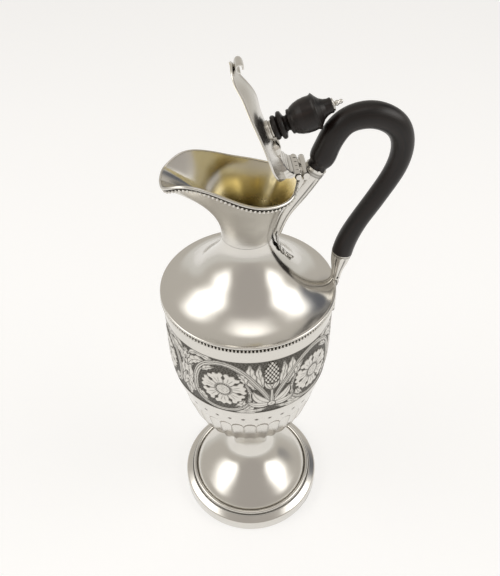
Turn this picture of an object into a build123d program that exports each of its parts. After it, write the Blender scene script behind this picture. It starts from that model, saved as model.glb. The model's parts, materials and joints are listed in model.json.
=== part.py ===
"""Silver claret jug with a hinged lid, a turned wooden finial and a wooden goose-neck handle.

Millimetres, +Z up, origin at the middle of the foot's underside. The spout points along -X and
the handle stands at +X. The lid's pieces are drawn closed and are turned open about the hinge.
"""

import os
from math import cos, hypot, radians, sin

from build123d import *

os.makedirs("parts", exist_ok=True)

# ---------------------------------------------------------------- driving dimensions
sheet = 1.0  # wall of the raised sheet metal
wall = 1.3  # of the neck and mouth
running_gap = 0.3  # between pieces that move past each other
pin_clearance = 0.05  # radial, hinge pin in the lid's knuckles

# foot and stem
foot_radius = 48.0
foot_band = 9.0  # height of the foot's upright band
foot_edge = 1.6  # rounding of the band's top edge
foot_step = 5.4  # width of the flat step inside the band
foot_wire = 1.3  # radius of the wire round the dome
dome_height = 43.4  # from the step up to the stem
stem_radius = 8.5
knop_height = 10.0
knop_radius = 12.5

# bowl and shoulder
body_radius = 47.2
bowl_height = 123.6
bowl_base = 9.5  # radius of the bowl's underside, which sits on the knop
rebate = 1.1  # how far the bowl's lip steps in behind the beaded wire
bead_height = 2.8
rim_radius = 47.8  # edge of the shoulder
rim_edge = 1.6  # height of that edge
shoulder_height = 35.6  # from the beaded wire up to the neck's narrowest place
neck_radius = 13.2

# mouth and spout
mouth_height = 34.0  # from the neck's narrowest place to the level of the mouth outline
mouth_radius = 23.7  # half width of the mouth
spout_reach = 41.4  # from the axis to the spout's nose at that level
spout_half_width = 10.9  # near the nose
side_flare = 1.55  # how late the sides open out: a power of the height
spout_flare = 2.4
mouth_wire = 1.4  # how far the mouth's edge and beaded wire stand out
mouth_wire_height = 2.9

# lid and hinge
opening_angle = 61.0
hinge_x = 23.2
hinge_rise = 36.8  # of the pin above the neck's narrowest place
pin_radius = 0.9
knuckle_radius = 1.8
knuckle_width = 3.2
knuckle_gap = 0.3
pin_head = 0.7
pin_head_radius = 1.4
leaf_length = 18.2  # of the lid's leaf, from the pin to its front lobe
leaf_sheet = 1.0
roll_radius = 1.6
tongue_half_width = 5.0
tongue_length = 11.0
lid_sheet = 1.1
curl_radius = 1.9  # of the lid's rolled tip
curl_half_width = 4.2

# finial
finial_tilt = 8.1  # lean towards the handle when the lid is closed
collar_radius = 4.3
collar_height = 2.2
finial_length = 27.4  # of the turned wood
finial_radius = 8.3  # at its sharp rim
rod_radius = 1.1
nut_radius = 2.8
nut_height = 2.8
cap_radius = 2.9
cap_height = 1.0
bead_ball = 1.3  # radius of the larger of the cap's two little balls

# handle
socket_radius = 5.4  # of both sockets where the wood enters
tenon_shoulder = 1.2
upper_tenon_length = 6.0
lower_tenon_length = 3.4
handle_pin_radius = 0.8
pin_proud = 0.3
leaf_half_width = 3.6  # of the leaves below the sockets
upper_leaf_sheet = 1.2

# ---------------------------------------------------------------- levels and shared outlines
dome_base = foot_band + foot_edge
stem_top = dome_base + dome_height
bowl_bottom = stem_top + knop_height
bowl_lip = bowl_bottom + bowl_height
bead_top = bowl_lip + bead_height
shoulder_top = bead_top + shoulder_height
mouth_level = shoulder_top + mouth_height
hinge_z = shoulder_top + hinge_rise
hinge_half = 2.5 * knuckle_width + 2 * knuckle_gap
cut_reach = 2 * foot_radius


def inset(points, distance):
    """Moves each point of an open line to its right by the distance."""
    moved = []
    for i, (x, y) in enumerate(points):
        before = points[max(i - 1, 0)]
        after = points[min(i + 1, len(points) - 1)]
        along = hypot(after[0] - before[0], after[1] - before[1])
        moved.append(
            (
                x + (after[1] - before[1]) / along * distance,
                y - (after[0] - before[0]) / along * distance,
            )
        )
    return moved


def largest(part):
    """The main solid of a trimmed piece, without the chips that trimming leaves."""
    return Part(part.solids().sort_by(SortBy.VOLUME)[-1].wrapped)


def bowl_line(distance=0.0):
    """Outside of the bowl from its underside to its lip, moved outwards by the distance."""
    shares = [
        (bowl_base / body_radius, 0.0),
        (0.318, 0.053),
        (0.487, 0.105),
        (0.657, 0.178),
        (0.775, 0.267),
        (0.852, 0.372),
        (0.922, 0.494),
        (0.972, 0.583),
        (0.995, 0.66),
        (1.0, 0.75),
        (0.994, 0.86),
        (0.989, 1.0),
    ]
    points = [(r * body_radius, bowl_bottom + h * bowl_height) for r, h in shares]
    return inset(points, distance)


def shoulder_line(distance=0.0):
    """Outside of the shoulder from the rim's edge to the neck, moved outwards."""
    shares = [
        (1.0, 0.045),
        (0.94, 0.06),
        (0.85, 0.088),
        (0.69, 0.163),
        (0.5, 0.283),
        (0.302, 0.468),
        (0.125, 0.665),
        (0.02, 0.86),
        (0.0, 1.0),
    ]
    step = rim_radius - 1.6 - neck_radius
    points = [(neck_radius + r * step, bead_top + h * shoulder_height) for r, h in shares]
    return inset(points, distance)


# Half of the mouth at its own level: the neck's angle, and the place that it flares out to.
mouth_outline = [
    (0, 25.4, 0.0),
    (32, 23.1, 0.66 * mouth_radius),
    (62, 13.0, 0.96 * mouth_radius),
    (92, 1.9, mouth_radius),
    (116, -10.0, 0.84 * mouth_radius),
    (140, -0.52 * spout_reach, 14.5),
    (157, -0.76 * spout_reach, spout_half_width),
    (168, -0.935 * spout_reach, 0.69 * spout_half_width),
    (180, -spout_reach, 0.0),
]
mouth_steps = [0.0, 0.22, 0.44, 0.64, 0.82, 1.0, 1.2]

# The mouth's edge seen from the side: x, and height above the mouth's level.
mouth_edge = [
    (-44.0, -3.4),
    (-40.2, -0.6),
    (-36.3, 1.8),
    (-30.0, 4.6),
    (-24.8, 4.8),
    (-18.9, 3.4),
    (-12.4, 1.0),
    (-5.5, -1.8),
    (1.6, -4.0),
    (8.7, -5.4),
    (15.3, -5.9),
    (20.7, -5.2),
    (22.6, -4.1),
    (24.2, -2.2),
    (26.4, -1.0),
    (32.0, -0.6),
]


def mouth_half(step, grow):
    """Points round half of the mouth at one step of its height, grown outwards."""
    half = []
    for angle, x, y in mouth_outline:
        power = side_flare + (spout_flare - side_flare) * (angle / 180) ** 2
        share = step**power
        neck_x = neck_radius * cos(radians(angle))
        neck_y = neck_radius * sin(radians(angle))
        half.append((neck_x + (x - neck_x) * share, neck_y + (y - neck_y) * share))
    grown = inset(half, grow)
    grown[0] = (half[0][0] + grow, 0)
    grown[-1] = (half[-1][0] - grow, 0)
    return grown


def flare(grow):
    """Half of the neck and mouth as a solid flare, lofted through level outlines."""
    outlines = []
    places = [i / (len(mouth_outline) - 1) for i in range(len(mouth_outline))]
    for step in mouth_steps:
        half = mouth_half(step, grow)
        with BuildSketch(Plane.XY.offset(shoulder_top + step * mouth_height)) as outline:
            with BuildLine():
                add(Edge.make_spline(half, parameters=places))
                Line(half[-1], half[0])
            make_face()
        outlines.append(outline.sketch)
    with BuildPart() as half_flare:
        loft(outlines)
    return half_flare.part


def beyond_mouth_edge(drop, above):
    """A block that holds all above, or below, the mouth's edge lowered by the drop.

    The drop grows towards the spout's nose, where the wall leans out furthest.
    """
    far = mouth_level + (2 if above else -2) * mouth_height
    line = [(x, mouth_level + z - drop * (1 + (x / spout_reach) ** 4)) for x, z in mouth_edge]
    with BuildPart() as block:
        with BuildSketch(Plane.XZ):
            with BuildLine():
                Spline(*line)
                Polyline(
                    line[-1],
                    (cut_reach, line[-1][1]),
                    (cut_reach, far),
                    (-cut_reach, far),
                    (-cut_reach, line[0][1]),
                    line[0],
                )
            make_face()
        extrude(amount=cut_reach, both=True)
    return block.part


# ---------------------------------------------------------------- foot and stem
step_radius = foot_radius - foot_step
dome_radius = step_radius - 2 * foot_wire

with BuildPart() as foot_band_ring:
    with BuildSketch(Plane.XZ):
        with BuildLine():
            Polyline(
                (foot_radius - 2 * sheet, 0),
                (foot_radius, 0),
                (foot_radius, foot_band - foot_edge),
            )
            RadiusArc(
                (foot_radius, foot_band - foot_edge),
                (foot_radius - foot_edge, foot_band),
                -foot_edge,
            )
            Polyline(
                (foot_radius - foot_edge, foot_band),
                (step_radius, dome_base),
                (dome_radius, dome_base),
                (dome_radius, dome_base - sheet),
                (step_radius, dome_base - sheet),
                (foot_radius - 2 * sheet, foot_band - foot_edge - sheet),
                (foot_radius - 2 * sheet, 0),
            )
        make_face()
    revolve(axis=Axis.Z)

with BuildPart() as foot_wire_ring:
    with BuildSketch(Plane.XZ):
        with Locations((dome_radius + foot_wire, dome_base + foot_wire)):
            Circle(foot_wire)
    revolve(axis=Axis.Z)

dome_shares = [
    (1.0, 0.0),
    (0.985, 0.05),
    (0.95, 0.092),
    (0.86, 0.16),
    (0.72, 0.252),
    (0.56, 0.35),
    (0.4, 0.462),
    (0.29, 0.6),
    (0.232, 0.78),
    (stem_radius / dome_radius, 1.0),
]
dome_line = [(r * dome_radius, dome_base + h * dome_height) for r, h in dome_shares]
dome_inside = inset(dome_line, -sheet)

with BuildPart() as foot_dome:
    with BuildSketch(Plane.XZ):
        with BuildLine():
            Spline(*dome_line)
            Line(dome_line[-1], dome_inside[-1])
            Spline(*reversed(dome_inside))
            Line(dome_inside[0], dome_line[0])
        make_face()
    revolve(axis=Axis.Z)

with BuildPart() as stem_knop:
    with BuildSketch(Plane.XZ):
        with BuildLine():
            Polyline(
                (0, bowl_bottom),
                (0, stem_top),
                (stem_radius, stem_top),
                (stem_radius, stem_top + 0.2 * knop_height),
            )
            ThreePointArc(
                (stem_radius, stem_top + 0.2 * knop_height),
                (knop_radius, stem_top + 0.5 * knop_height),
                (stem_radius, stem_top + 0.8 * knop_height),
            )
            Polyline(
                (stem_radius, stem_top + 0.8 * knop_height),
                (bowl_base, bowl_bottom),
                (0, bowl_bottom),
            )
        make_face()
    revolve(axis=Axis.Z)

# ---------------------------------------------------------------- bowl, beaded wire, shoulder
bowl_outside = bowl_line()
bowl_inside = bowl_line(-sheet)
lip_radius = bowl_outside[-1][0] - rebate

with BuildPart() as body_bowl:
    with BuildSketch(Plane.XZ):
        with BuildLine():
            Spline(*bowl_outside)
            Polyline(
                bowl_outside[-1],
                (lip_radius, bowl_lip),
                (lip_radius, bead_top),
                (lip_radius - sheet, bead_top),
                (bowl_inside[-1][0] - rebate, bowl_lip - 2 * rebate),
                bowl_inside[-2],
            )
            Spline(*reversed(bowl_inside[1:-1]))
            Polyline(
                bowl_inside[1],
                (0, bowl_inside[1][1]),
                (0, bowl_bottom),
                bowl_outside[0],
            )
        make_face()
    revolve(axis=Axis.Z)

with BuildPart() as shoulder_bead:
    with BuildSketch(Plane.XZ):
        with BuildLine():
            Polyline(
                (rim_radius + 0.4 - bead_height / 2, bead_top),
                (lip_radius, bead_top),
                (lip_radius, bowl_lip),
                (rim_radius + 0.4 - bead_height / 2, bowl_lip),
            )
            ThreePointArc(
                (rim_radius + 0.4 - bead_height / 2, bowl_lip),
                (rim_radius + 0.4, bowl_lip + bead_height / 2),
                (rim_radius + 0.4 - bead_height / 2, bead_top),
            )
        make_face()
    revolve(axis=Axis.Z)

shoulder_outside = shoulder_line()
shoulder_inside = shoulder_line(-sheet)

with BuildPart() as shoulder:
    with BuildSketch(Plane.XZ):
        with BuildLine():
            Polyline(
                shoulder_outside[0],
                (rim_radius - rim_edge / 2, bead_top + rim_edge),
            )
            ThreePointArc(
                (rim_radius - rim_edge / 2, bead_top + rim_edge),
                (rim_radius, bead_top + rim_edge / 2),
                (rim_radius - rim_edge / 2, bead_top),
            )
            Polyline(
                (rim_radius - rim_edge / 2, bead_top),
                (lip_radius - 2 * sheet, bead_top),
                shoulder_inside[1],
            )
            Spline(*shoulder_inside[1:])
            Line(shoulder_inside[-1], shoulder_outside[-1])
            Spline(*reversed(shoulder_outside))
        make_face()
    revolve(axis=Axis.Z)

# ---------------------------------------------------------------- neck, mouth and its wire
flare_outside = flare(0)
above_mouth = beyond_mouth_edge(0, above=True)

with BuildPart() as neck_spout:
    add(flare_outside)
    add(above_mouth, mode=Mode.SUBTRACT)
    add(flare(-wall), mode=Mode.SUBTRACT)
    mirror(about=Plane.XZ)

with BuildPart() as half_bead:
    add(flare(mouth_wire))
    add(flare_outside, mode=Mode.SUBTRACT)
    add(above_mouth, mode=Mode.SUBTRACT)
    add(beyond_mouth_edge(mouth_wire_height, above=False), mode=Mode.SUBTRACT)

with BuildPart() as mouth_bead:
    add(half_bead.part)
    mirror(about=Plane.XZ)

# ---------------------------------------------------------------- lid, drawn closed
# Half of the lid's edge seen from above: x, and half width. In front it lies inside the spout,
# and beside the neck it lies on the mouth's edge.
lid_edge = [
    (21.4, 0.0),
    (21.0, 8.0),
    (19.2, 13.2),
    (14.5, 18.2),
    (8.5, 20.6),
    (1.6, 21.0),
    (-5.0, 19.0),
    (-11.5, 16.6),
    (-18.0, 13.9),
    (-24.5, 11.5),
    (-30.0, 9.4),
    (-33.2, 6.0),
    (-34.6, 0.0),
]
# Cross-sections of its upper face: x, half width at the edge, and the heights of the edge and of
# the crest above the mouth's level.
lid_sections = [
    (-36.0, 8.0, 0.9, 2.5),
    (-30.0, 9.8, 0.5, 2.3),
    (-24.5, 11.9, 0.2, 3.4),
    (-18.0, 14.3, -0.2, 4.0),
    (-11.5, 17.0, -0.7, 2.8),
    (-5.0, 19.4, -1.2, 1.6),
    (1.6, 21.4, -2.1, 0.7),
    (8.5, 21.0, -3.4, -0.2),
    (14.5, 18.6, -4.0, -0.9),
    (19.4, 13.4, -3.8, -1.2),
    (23.0, 12.0, -3.6, -1.2),
]
lid_slab_half = 24.0


def lid_solid(lift, thickness):
    """The lid's crowned plate, its upper face lifted and its thickness as given."""
    faces = []
    for x, half, edge, crest in lid_sections:
        top = mouth_level + crest + lift
        side = top - (crest - edge) * (lid_slab_half / half) ** 2
        with BuildSketch(Plane.YZ.offset(x)) as section:
            with BuildLine():
                ThreePointArc((-lid_slab_half, side), (0, top), (lid_slab_half, side))
                Line((lid_slab_half, side), (lid_slab_half, side - thickness))
                ThreePointArc(
                    (lid_slab_half, side - thickness),
                    (0, top - thickness),
                    (-lid_slab_half, side - thickness),
                )
                Line((-lid_slab_half, side - thickness), (-lid_slab_half, side))
            make_face()
        faces.append(section.sketch)
    with BuildPart() as slab:
        loft(faces)
        with BuildSketch(Plane.XY.offset(shoulder_top)) as outline:
            with BuildLine():
                Spline(*lid_edge, *[(x, -y) for x, y in reversed(lid_edge[1:-1])], periodic=True)
            make_face()
        extrude(outline.sketch, amount=3 * mouth_height, mode=Mode.INTERSECT)
    return slab.part


lid_thickness = lid_solid(0, 4 * lid_sheet)  # trims what stands on the lid

# The curl that the lid's tip is rolled into.
curl_x = lid_edge[-1][0] + curl_radius
curl_z = mouth_level + lid_sections[1][3] + curl_radius - 0.2

with BuildPart() as lid_tip_scroll:
    with BuildSketch(Plane.XZ):
        with Locations((curl_x, curl_z)):
            Circle(curl_radius)
            Circle(curl_radius - leaf_sheet, mode=Mode.SUBTRACT)
        with Locations((curl_x - curl_radius, curl_z + 0.3 * curl_radius)):
            Rectangle(curl_radius, 0.5 * curl_radius, mode=Mode.SUBTRACT)
    extrude(amount=curl_half_width, both=True)
    add(lid_thickness, mode=Mode.SUBTRACT)

# ---------------------------------------------------------------- hinge
knuckle_pitch = knuckle_width + knuckle_gap
knuckle_middles = [(i - 2) * knuckle_pitch for i in range(5)]
hinge_point = (hinge_x, hinge_z)


def along_hinge(radius, middles, width, at=hinge_point):
    """Cylinders round the hinge's axis, or beside it, at the given places along it."""
    with BuildPart() as row:
        for middle in middles:
            with BuildSketch(Plane.XZ.offset(-middle - width / 2)) as disc:
                with Locations(at):
                    Circle(radius)
            extrude(disc.sketch, amount=width)
    return row.part


# The lid's leaf: a moulded front lobe, a valley, and a reeded rise to the knuckles.
with BuildPart() as hinge_lid_leaf:
    leaf_bottom = mouth_level - 3
    with BuildSketch(Plane.XZ):
        with BuildLine():
            Spline(
                (hinge_x - leaf_length, mouth_level + 0.2),
                (hinge_x - 0.96 * leaf_length, mouth_level + 1.6),
                (hinge_x - 0.89 * leaf_length, mouth_level + 2.4),
                (hinge_x - 0.78 * leaf_length, mouth_level + 1.8),
                (hinge_x - 0.66 * leaf_length, mouth_level + 0.5),
                (hinge_x - 0.53 * leaf_length, mouth_level - 0.2),
                (hinge_x - 0.34 * leaf_length, mouth_level + 0.2),
                (hinge_x - 0.15 * leaf_length, mouth_level + 1.6),
                (hinge_x - 0.4 * knuckle_radius, hinge_z + 0.9 * knuckle_radius),
            )
            Polyline(
                (hinge_x - 0.4 * knuckle_radius, hinge_z + 0.9 * knuckle_radius),
                (hinge_x - 0.4 * knuckle_radius, hinge_z - 0.9 * knuckle_radius),
                (lid_edge[0][0] - 0.8, mouth_level - 0.6),
                (lid_edge[0][0] - 0.8, leaf_bottom),
                (hinge_x - leaf_length, leaf_bottom),
                (hinge_x - leaf_length, mouth_level + 0.2),
            )
        make_face()
    extrude(amount=hinge_half, both=True)
    with BuildSketch(Plane.XY.offset(leaf_bottom)) as leaf_outline:
        with BuildLine():
            Polyline(
                (hinge_x + 2 * knuckle_radius, hinge_half),
                (hinge_x - 0.3 * leaf_length, hinge_half),
                (hinge_x - 0.52 * leaf_length, 0.5 * hinge_half),
            )
            Spline(
                (hinge_x - 0.52 * leaf_length, 0.5 * hinge_half),
                (hinge_x - 0.78 * leaf_length, 0.66 * hinge_half),
                (hinge_x - leaf_length, 0),
            )
            Line((hinge_x - leaf_length, 0), (hinge_x + 2 * knuckle_radius, 0))
            Line((hinge_x + 2 * knuckle_radius, 0), (hinge_x + 2 * knuckle_radius, hinge_half))
        make_face()
        mirror(about=Plane.XZ)
    extrude(leaf_outline.sketch, amount=mouth_height, mode=Mode.INTERSECT)
    add(lid_thickness, mode=Mode.SUBTRACT)
    add(along_hinge(knuckle_radius, knuckle_middles[::2], knuckle_width))
    add(
        along_hinge(
            knuckle_radius + running_gap, knuckle_middles[1::2], knuckle_width + 2 * knuckle_gap
        ),
        mode=Mode.SUBTRACT,
    )
    add(
        along_hinge(pin_radius + pin_clearance, [0], 4 * hinge_half),
        mode=Mode.SUBTRACT,
    )

# The neck's leaf: a tongue down the neck, a plate above it, and a rolled edge behind the knuckles.
roll_x = hinge_x + knuckle_radius + running_gap + roll_radius
plate_top = hinge_z - 0.6 * roll_radius

with BuildPart() as hinge_tongue:
    with BuildSketch(Plane.XZ):
        with Locations((hinge_x, plate_top - 0.2 * leaf_sheet)):
            Rectangle(8 * roll_radius, tongue_length, align=(Align.CENTER, Align.MAX))
    extrude(amount=-tongue_half_width)
    add(flare(mouth_wire + leaf_sheet), mode=Mode.INTERSECT)
    add(flare_outside, mode=Mode.SUBTRACT)
    add(half_bead.part, mode=Mode.SUBTRACT)
    mirror(about=Plane.XZ)

with BuildPart() as hinge_back_leaf:
    add(hinge_tongue.part)
    with BuildSketch(Plane.XZ) as rolled_plate:
        with Locations((roll_x - roll_radius, plate_top)):
            Rectangle(1.9 * roll_radius, leaf_sheet, align=(Align.MIN, Align.MAX))
        with Locations((roll_x, hinge_z)):
            Circle(roll_radius)
    extrude(rolled_plate.sketch, amount=hinge_half, both=True)
    for middle in knuckle_middles[1::2]:
        with BuildSketch(Plane.XZ.offset(-middle - knuckle_width / 2)) as web:
            with Locations(((hinge_x + roll_x) / 2, hinge_z)):
                Rectangle(roll_x - hinge_x, roll_radius)
            with Locations(hinge_point):
                Circle(knuckle_radius)
        extrude(web.sketch, amount=knuckle_width)
    add(along_hinge(pin_radius, [0], 4 * hinge_half), mode=Mode.SUBTRACT)

with BuildPart() as hinge_pin:
    add(along_hinge(pin_radius, [0], 2 * (hinge_half + knuckle_gap)))
    head_middle = hinge_half + knuckle_gap + pin_head / 2
    add(along_hinge(pin_head_radius, [-head_middle, head_middle], pin_head))

# ---------------------------------------------------------------- finial, drawn on the lid
finial_foot = mouth_level + lid_sections[6][3] + 0.2  # just above the lid's crest
lean = radians(finial_tilt)
finial_plane = Plane(
    origin=(0, 0, finial_foot), x_dir=(cos(lean), 0, -sin(lean)), z_dir=(0, -1, 0)
)
finial_axis = Axis((0, 0, finial_foot), (sin(lean), 0, cos(lean)))
wood_foot = collar_height
wood_top = wood_foot + finial_length
rod_foot = -lid_sheet - nut_height

with BuildPart() as finial_collar:
    with BuildSketch(finial_plane):
        with BuildLine():
            Polyline(
                (rod_radius, wood_foot),
                (rod_radius, -2 * lid_sheet),
                (collar_radius + 0.3, -2 * lid_sheet),
                (collar_radius + 0.3, 0.5),
            )
            ThreePointArc(
                (collar_radius + 0.3, 0.5),
                (collar_radius, 0.6 * collar_height),
                (0.7 * collar_radius, collar_height),
            )
            Line((0.7 * collar_radius, collar_height), (rod_radius, wood_foot))
        make_face()
    revolve(axis=finial_axis)
    add(lid_thickness, mode=Mode.SUBTRACT)

wood_turning = [
    (0.62, 0.0),
    (0.67, 0.03),
    (0.64, 0.07),
    (0.52, 0.09),
    (0.74, 0.11),
    (0.77, 0.145),
    (0.72, 0.18),
    (0.42, 0.205),
    (0.39, 0.25),
    (0.62, 0.275),
    (0.66, 0.31),
    (0.72, 0.37),
    (0.82, 0.48),
    (0.89, 0.6),
    (0.92, 0.69),
    (1.0, 0.722),
    (0.82, 0.76),
    (0.58, 0.82),
    (0.45, 0.88),
    (0.36, 0.94),
    (0.355, 1.0),
]

with BuildPart() as finial_wood:
    with BuildSketch(finial_plane):
        turned = [
            (r * finial_radius, wood_foot + h * finial_length) for r, h in wood_turning
        ]
        with BuildLine():
            Polyline(*turned, (rod_radius, wood_top), (rod_radius, wood_foot), turned[0])
        make_face()
    revolve(axis=finial_axis)

with BuildPart() as finial_rod:
    with BuildSketch(finial_plane):
        with Locations((0, rod_foot)):
            Rectangle(rod_radius, wood_top - rod_foot, align=(Align.MIN, Align.MIN))
    revolve(axis=finial_axis)

with BuildPart() as finial_cap:
    with BuildSketch(finial_plane):
        with Locations((0, wood_top)):
            Rectangle(2 * cap_radius, cap_height, align=(Align.CENTER, Align.MIN))
        with Locations((0, wood_top + cap_height + 0.7 * bead_ball)):
            Circle(bead_ball)
        with Locations((0, wood_top + cap_height + 2.2 * bead_ball)):
            Circle(0.85 * bead_ball)
        with Locations((0, wood_top)):
            Rectangle(
                2 * cap_radius,
                4 * cap_radius,
                align=(Align.MAX, Align.MIN),
                mode=Mode.SUBTRACT,
            )
    revolve(axis=finial_axis)

with BuildPart() as finial_nut:
    with BuildSketch(finial_plane):
        with Locations((0, rod_foot)):
            Rectangle(nut_radius, 2 * nut_height, align=(Align.MIN, Align.MIN))
    revolve(axis=finial_axis)
    add(lid_solid(3 * lid_sheet, 4 * lid_sheet), mode=Mode.SUBTRACT)
    add(finial_rod.part, mode=Mode.SUBTRACT)

with BuildPart() as clear_of_lid:  # half of the mouth's wall, with the gap round it
    add(beyond_mouth_edge(-running_gap, above=False))
    add(flare(-wall - running_gap), mode=Mode.SUBTRACT)
    split(bisect_by=Plane.XZ, keep=Keep.BOTTOM)

with BuildPart() as lid:
    add(lid_solid(0, lid_sheet))
    split(bisect_by=Plane.XZ, keep=Keep.BOTTOM)
    add(clear_of_lid.part, mode=Mode.SUBTRACT)
    mirror(about=Plane.XZ)
    add(finial_rod.part, mode=Mode.SUBTRACT)

# ---------------------------------------------------------------- handle and its sockets
# Middle line of the wood from its upper end to its lower end: x, z, and radius.
handle_line = [
    (34.4, 265.0, 4.8),
    (37.0, 272.5, 5.2),
    (39.9, 279.6, 5.8),
    (44.6, 284.6, 5.8),
    (50.0, 286.6, 6.0),
    (56.2, 287.0, 6.1),
    (62.9, 285.0, 6.0),
    (68.7, 280.6, 5.8),
    (72.1, 273.6, 5.4),
    (72.6, 266.6, 5.2),
    (71.3, 259.6, 5.05),
    (68.7, 252.8, 4.9),
    (65.2, 245.6, 4.87),
    (61.4, 238.3, 4.9),
    (57.4, 230.8, 4.9),
    (54.0, 223.4, 5.1),
    (51.3, 215.4, 5.35),
    (50.15, 209.65, 5.4),
]
upper_end = (0.44, 0, 0.9)  # square to the wood's upper end
lower_end = (0.536, 0, 0.844)


def ring_at(point, normal, across, along_y):
    """An oval section at a point of the middle line, square to the normal."""
    plane = Plane(origin=(point[0], 0, point[1]), x_dir=(normal[2], 0, -normal[0]), z_dir=normal)
    with BuildSketch(plane) as ring:
        Ellipse(across, along_y) if across > along_y else Circle(across)
    return ring.sketch


def pin_across(point, normal, depth, length):
    """A round pin along Y, through the tenon at its depth in the socket."""
    x = point[0] - normal[0] * depth
    z = point[1] - normal[2] * depth
    return along_hinge(handle_pin_radius, [0], length, at=(x, z))


def tenon(point, normal, radius, length):
    """The round end of the wood that goes into a socket."""
    inward = (-normal[0], 0, -normal[2])
    with BuildPart() as peg:
        with BuildSketch(Plane(origin=(point[0], 0, point[1]), x_dir=(0, 1, 0), z_dir=inward)):
            Circle(radius)
        extrude(amount=length)
    return peg.part


upper_tenon = tenon(
    handle_line[0], upper_end, handle_line[0][2] - tenon_shoulder, upper_tenon_length
)
lower_tenon = tenon(
    handle_line[-1], lower_end, handle_line[-1][2] - 1.8 * tenon_shoulder, lower_tenon_length
)

with BuildPart() as wood_handle:
    rings = []
    for i, (x, z, radius) in enumerate(handle_line):
        before = handle_line[max(i - 1, 0)]
        after = handle_line[min(i + 1, len(handle_line) - 1)]
        normal = (after[0] - before[0], 0, after[1] - before[1])
        if i == 0:
            normal = upper_end
        if i == len(handle_line) - 1:
            normal = (-lower_end[0], 0, -lower_end[2])
        plane = Plane(origin=(x, 0, z), x_dir=(0, 1, 0), z_dir=normal)
        with BuildSketch(plane) as ring:
            Circle(radius)
        rings.append(ring.sketch)
    loft(rings)
    add(upper_tenon)
    add(lower_tenon)

handle_pins = {
    "upper": pin_across(
        handle_line[0], upper_end, upper_tenon_length / 2, 2 * (socket_radius + pin_proud)
    ),
    "lower": pin_across(
        handle_line[-1], lower_end, lower_tenon_length / 2, 2 * (socket_radius + pin_proud)
    ),
}

# Each socket: x, z, half width across, half width along Y, and the direction of its middle line.
upper_socket_rings = [
    (handle_line[0], upper_end, socket_radius, socket_radius),
    ((29.5, 256.0), (0.478, 0, 0.878), 5.0, 4.6),
    ((24.0, 247.0), (0.5, 0, 0.866), 4.6, 4.0),
    ((18.8, 237.5), (0.4, 0, 0.917), 3.4, 3.2),
    ((15.0, shoulder_top), (0, 0, 1), 2.6, 2.6),
]
lower_socket_rings = [
    (handle_line[-1], lower_end, socket_radius, socket_radius),
    ((49.3, 203.5), (0.22, 0, 0.976), 4.6, 4.5),
    ((48.6, 197.0), (0.08, 0, 0.997), 3.1, 3.1),
    ((48.1, bead_top + 0.5), (0.08, 0, 0.997), 2.6, 2.5),
]

with BuildPart() as upper_socket:
    loft([ring_at(*ring) for ring in upper_socket_rings])
    split(bisect_by=Plane.XZ, keep=Keep.BOTTOM)
    add(flare_outside, mode=Mode.SUBTRACT)
    add(half_bead.part, mode=Mode.SUBTRACT)
    mirror(about=Plane.XZ)
    add(hinge_back_leaf.part, mode=Mode.SUBTRACT)
    add(upper_tenon, mode=Mode.SUBTRACT)
    add(handle_pins["upper"], mode=Mode.SUBTRACT)
upper_socket.part = largest(upper_socket.part)

with BuildPart() as lower_socket:
    loft([ring_at(*ring) for ring in lower_socket_rings])
    add(shoulder.part, mode=Mode.SUBTRACT)
    add(shoulder_bead.part, mode=Mode.SUBTRACT)
    add(lower_tenon, mode=Mode.SUBTRACT)
    add(handle_pins["lower"], mode=Mode.SUBTRACT)

wood_handle.part = wood_handle.part - handle_pins["upper"] - handle_pins["lower"]

with BuildPart() as upper_handle_pin:
    add(handle_pins["upper"])

with BuildPart() as lower_handle_pin:
    add(handle_pins["lower"])

# ---------------------------------------------------------------- leaves under the sockets
shoulder_outer = shoulder_line(upper_leaf_sheet)


def leaf_solid(side_points, half_widths):
    """A leaf: its side outline drawn in XZ, trimmed to a pointed outline in YZ."""
    with BuildPart() as leaf:
        with BuildSketch(Plane.XZ):
            with BuildLine():
                Polyline(*side_points, side_points[0])
            make_face()
        extrude(amount=4 * leaf_half_width, both=True)
        with BuildSketch(Plane.YZ) as outline:
            with BuildLine():
                Spline(*half_widths)
                Polyline(half_widths[-1], (0, half_widths[-1][1]), (0, half_widths[0][1]))
                Line((0, half_widths[0][1]), half_widths[0])
            make_face()
            mirror(about=Plane.YZ)
        extrude(outline.sketch, amount=2 * foot_radius, mode=Mode.INTERSECT)
    return leaf.part


leaf_tip = shoulder_outer[5]

with BuildPart() as upper_leaf:
    add(
        leaf_solid(
            [
                (neck_radius - 0.5 * sheet, shoulder_top),
                (neck_radius + 4.0, shoulder_top),
                (neck_radius + 2.4, shoulder_outer[-2][1]),
                shoulder_outer[-3],
                leaf_tip,
                (leaf_tip[0] - 2 * upper_leaf_sheet, leaf_tip[1] - upper_leaf_sheet),
            ],
            [
                (leaf_half_width, shoulder_top),
                (0.9 * leaf_half_width, shoulder_top - 4),
                (0.55 * leaf_half_width, shoulder_top - 9),
                (0.3, leaf_tip[1] - 1),
            ],
        )
    )
    add(shoulder.part, mode=Mode.SUBTRACT)
upper_leaf.part = largest(upper_leaf.part)

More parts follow.
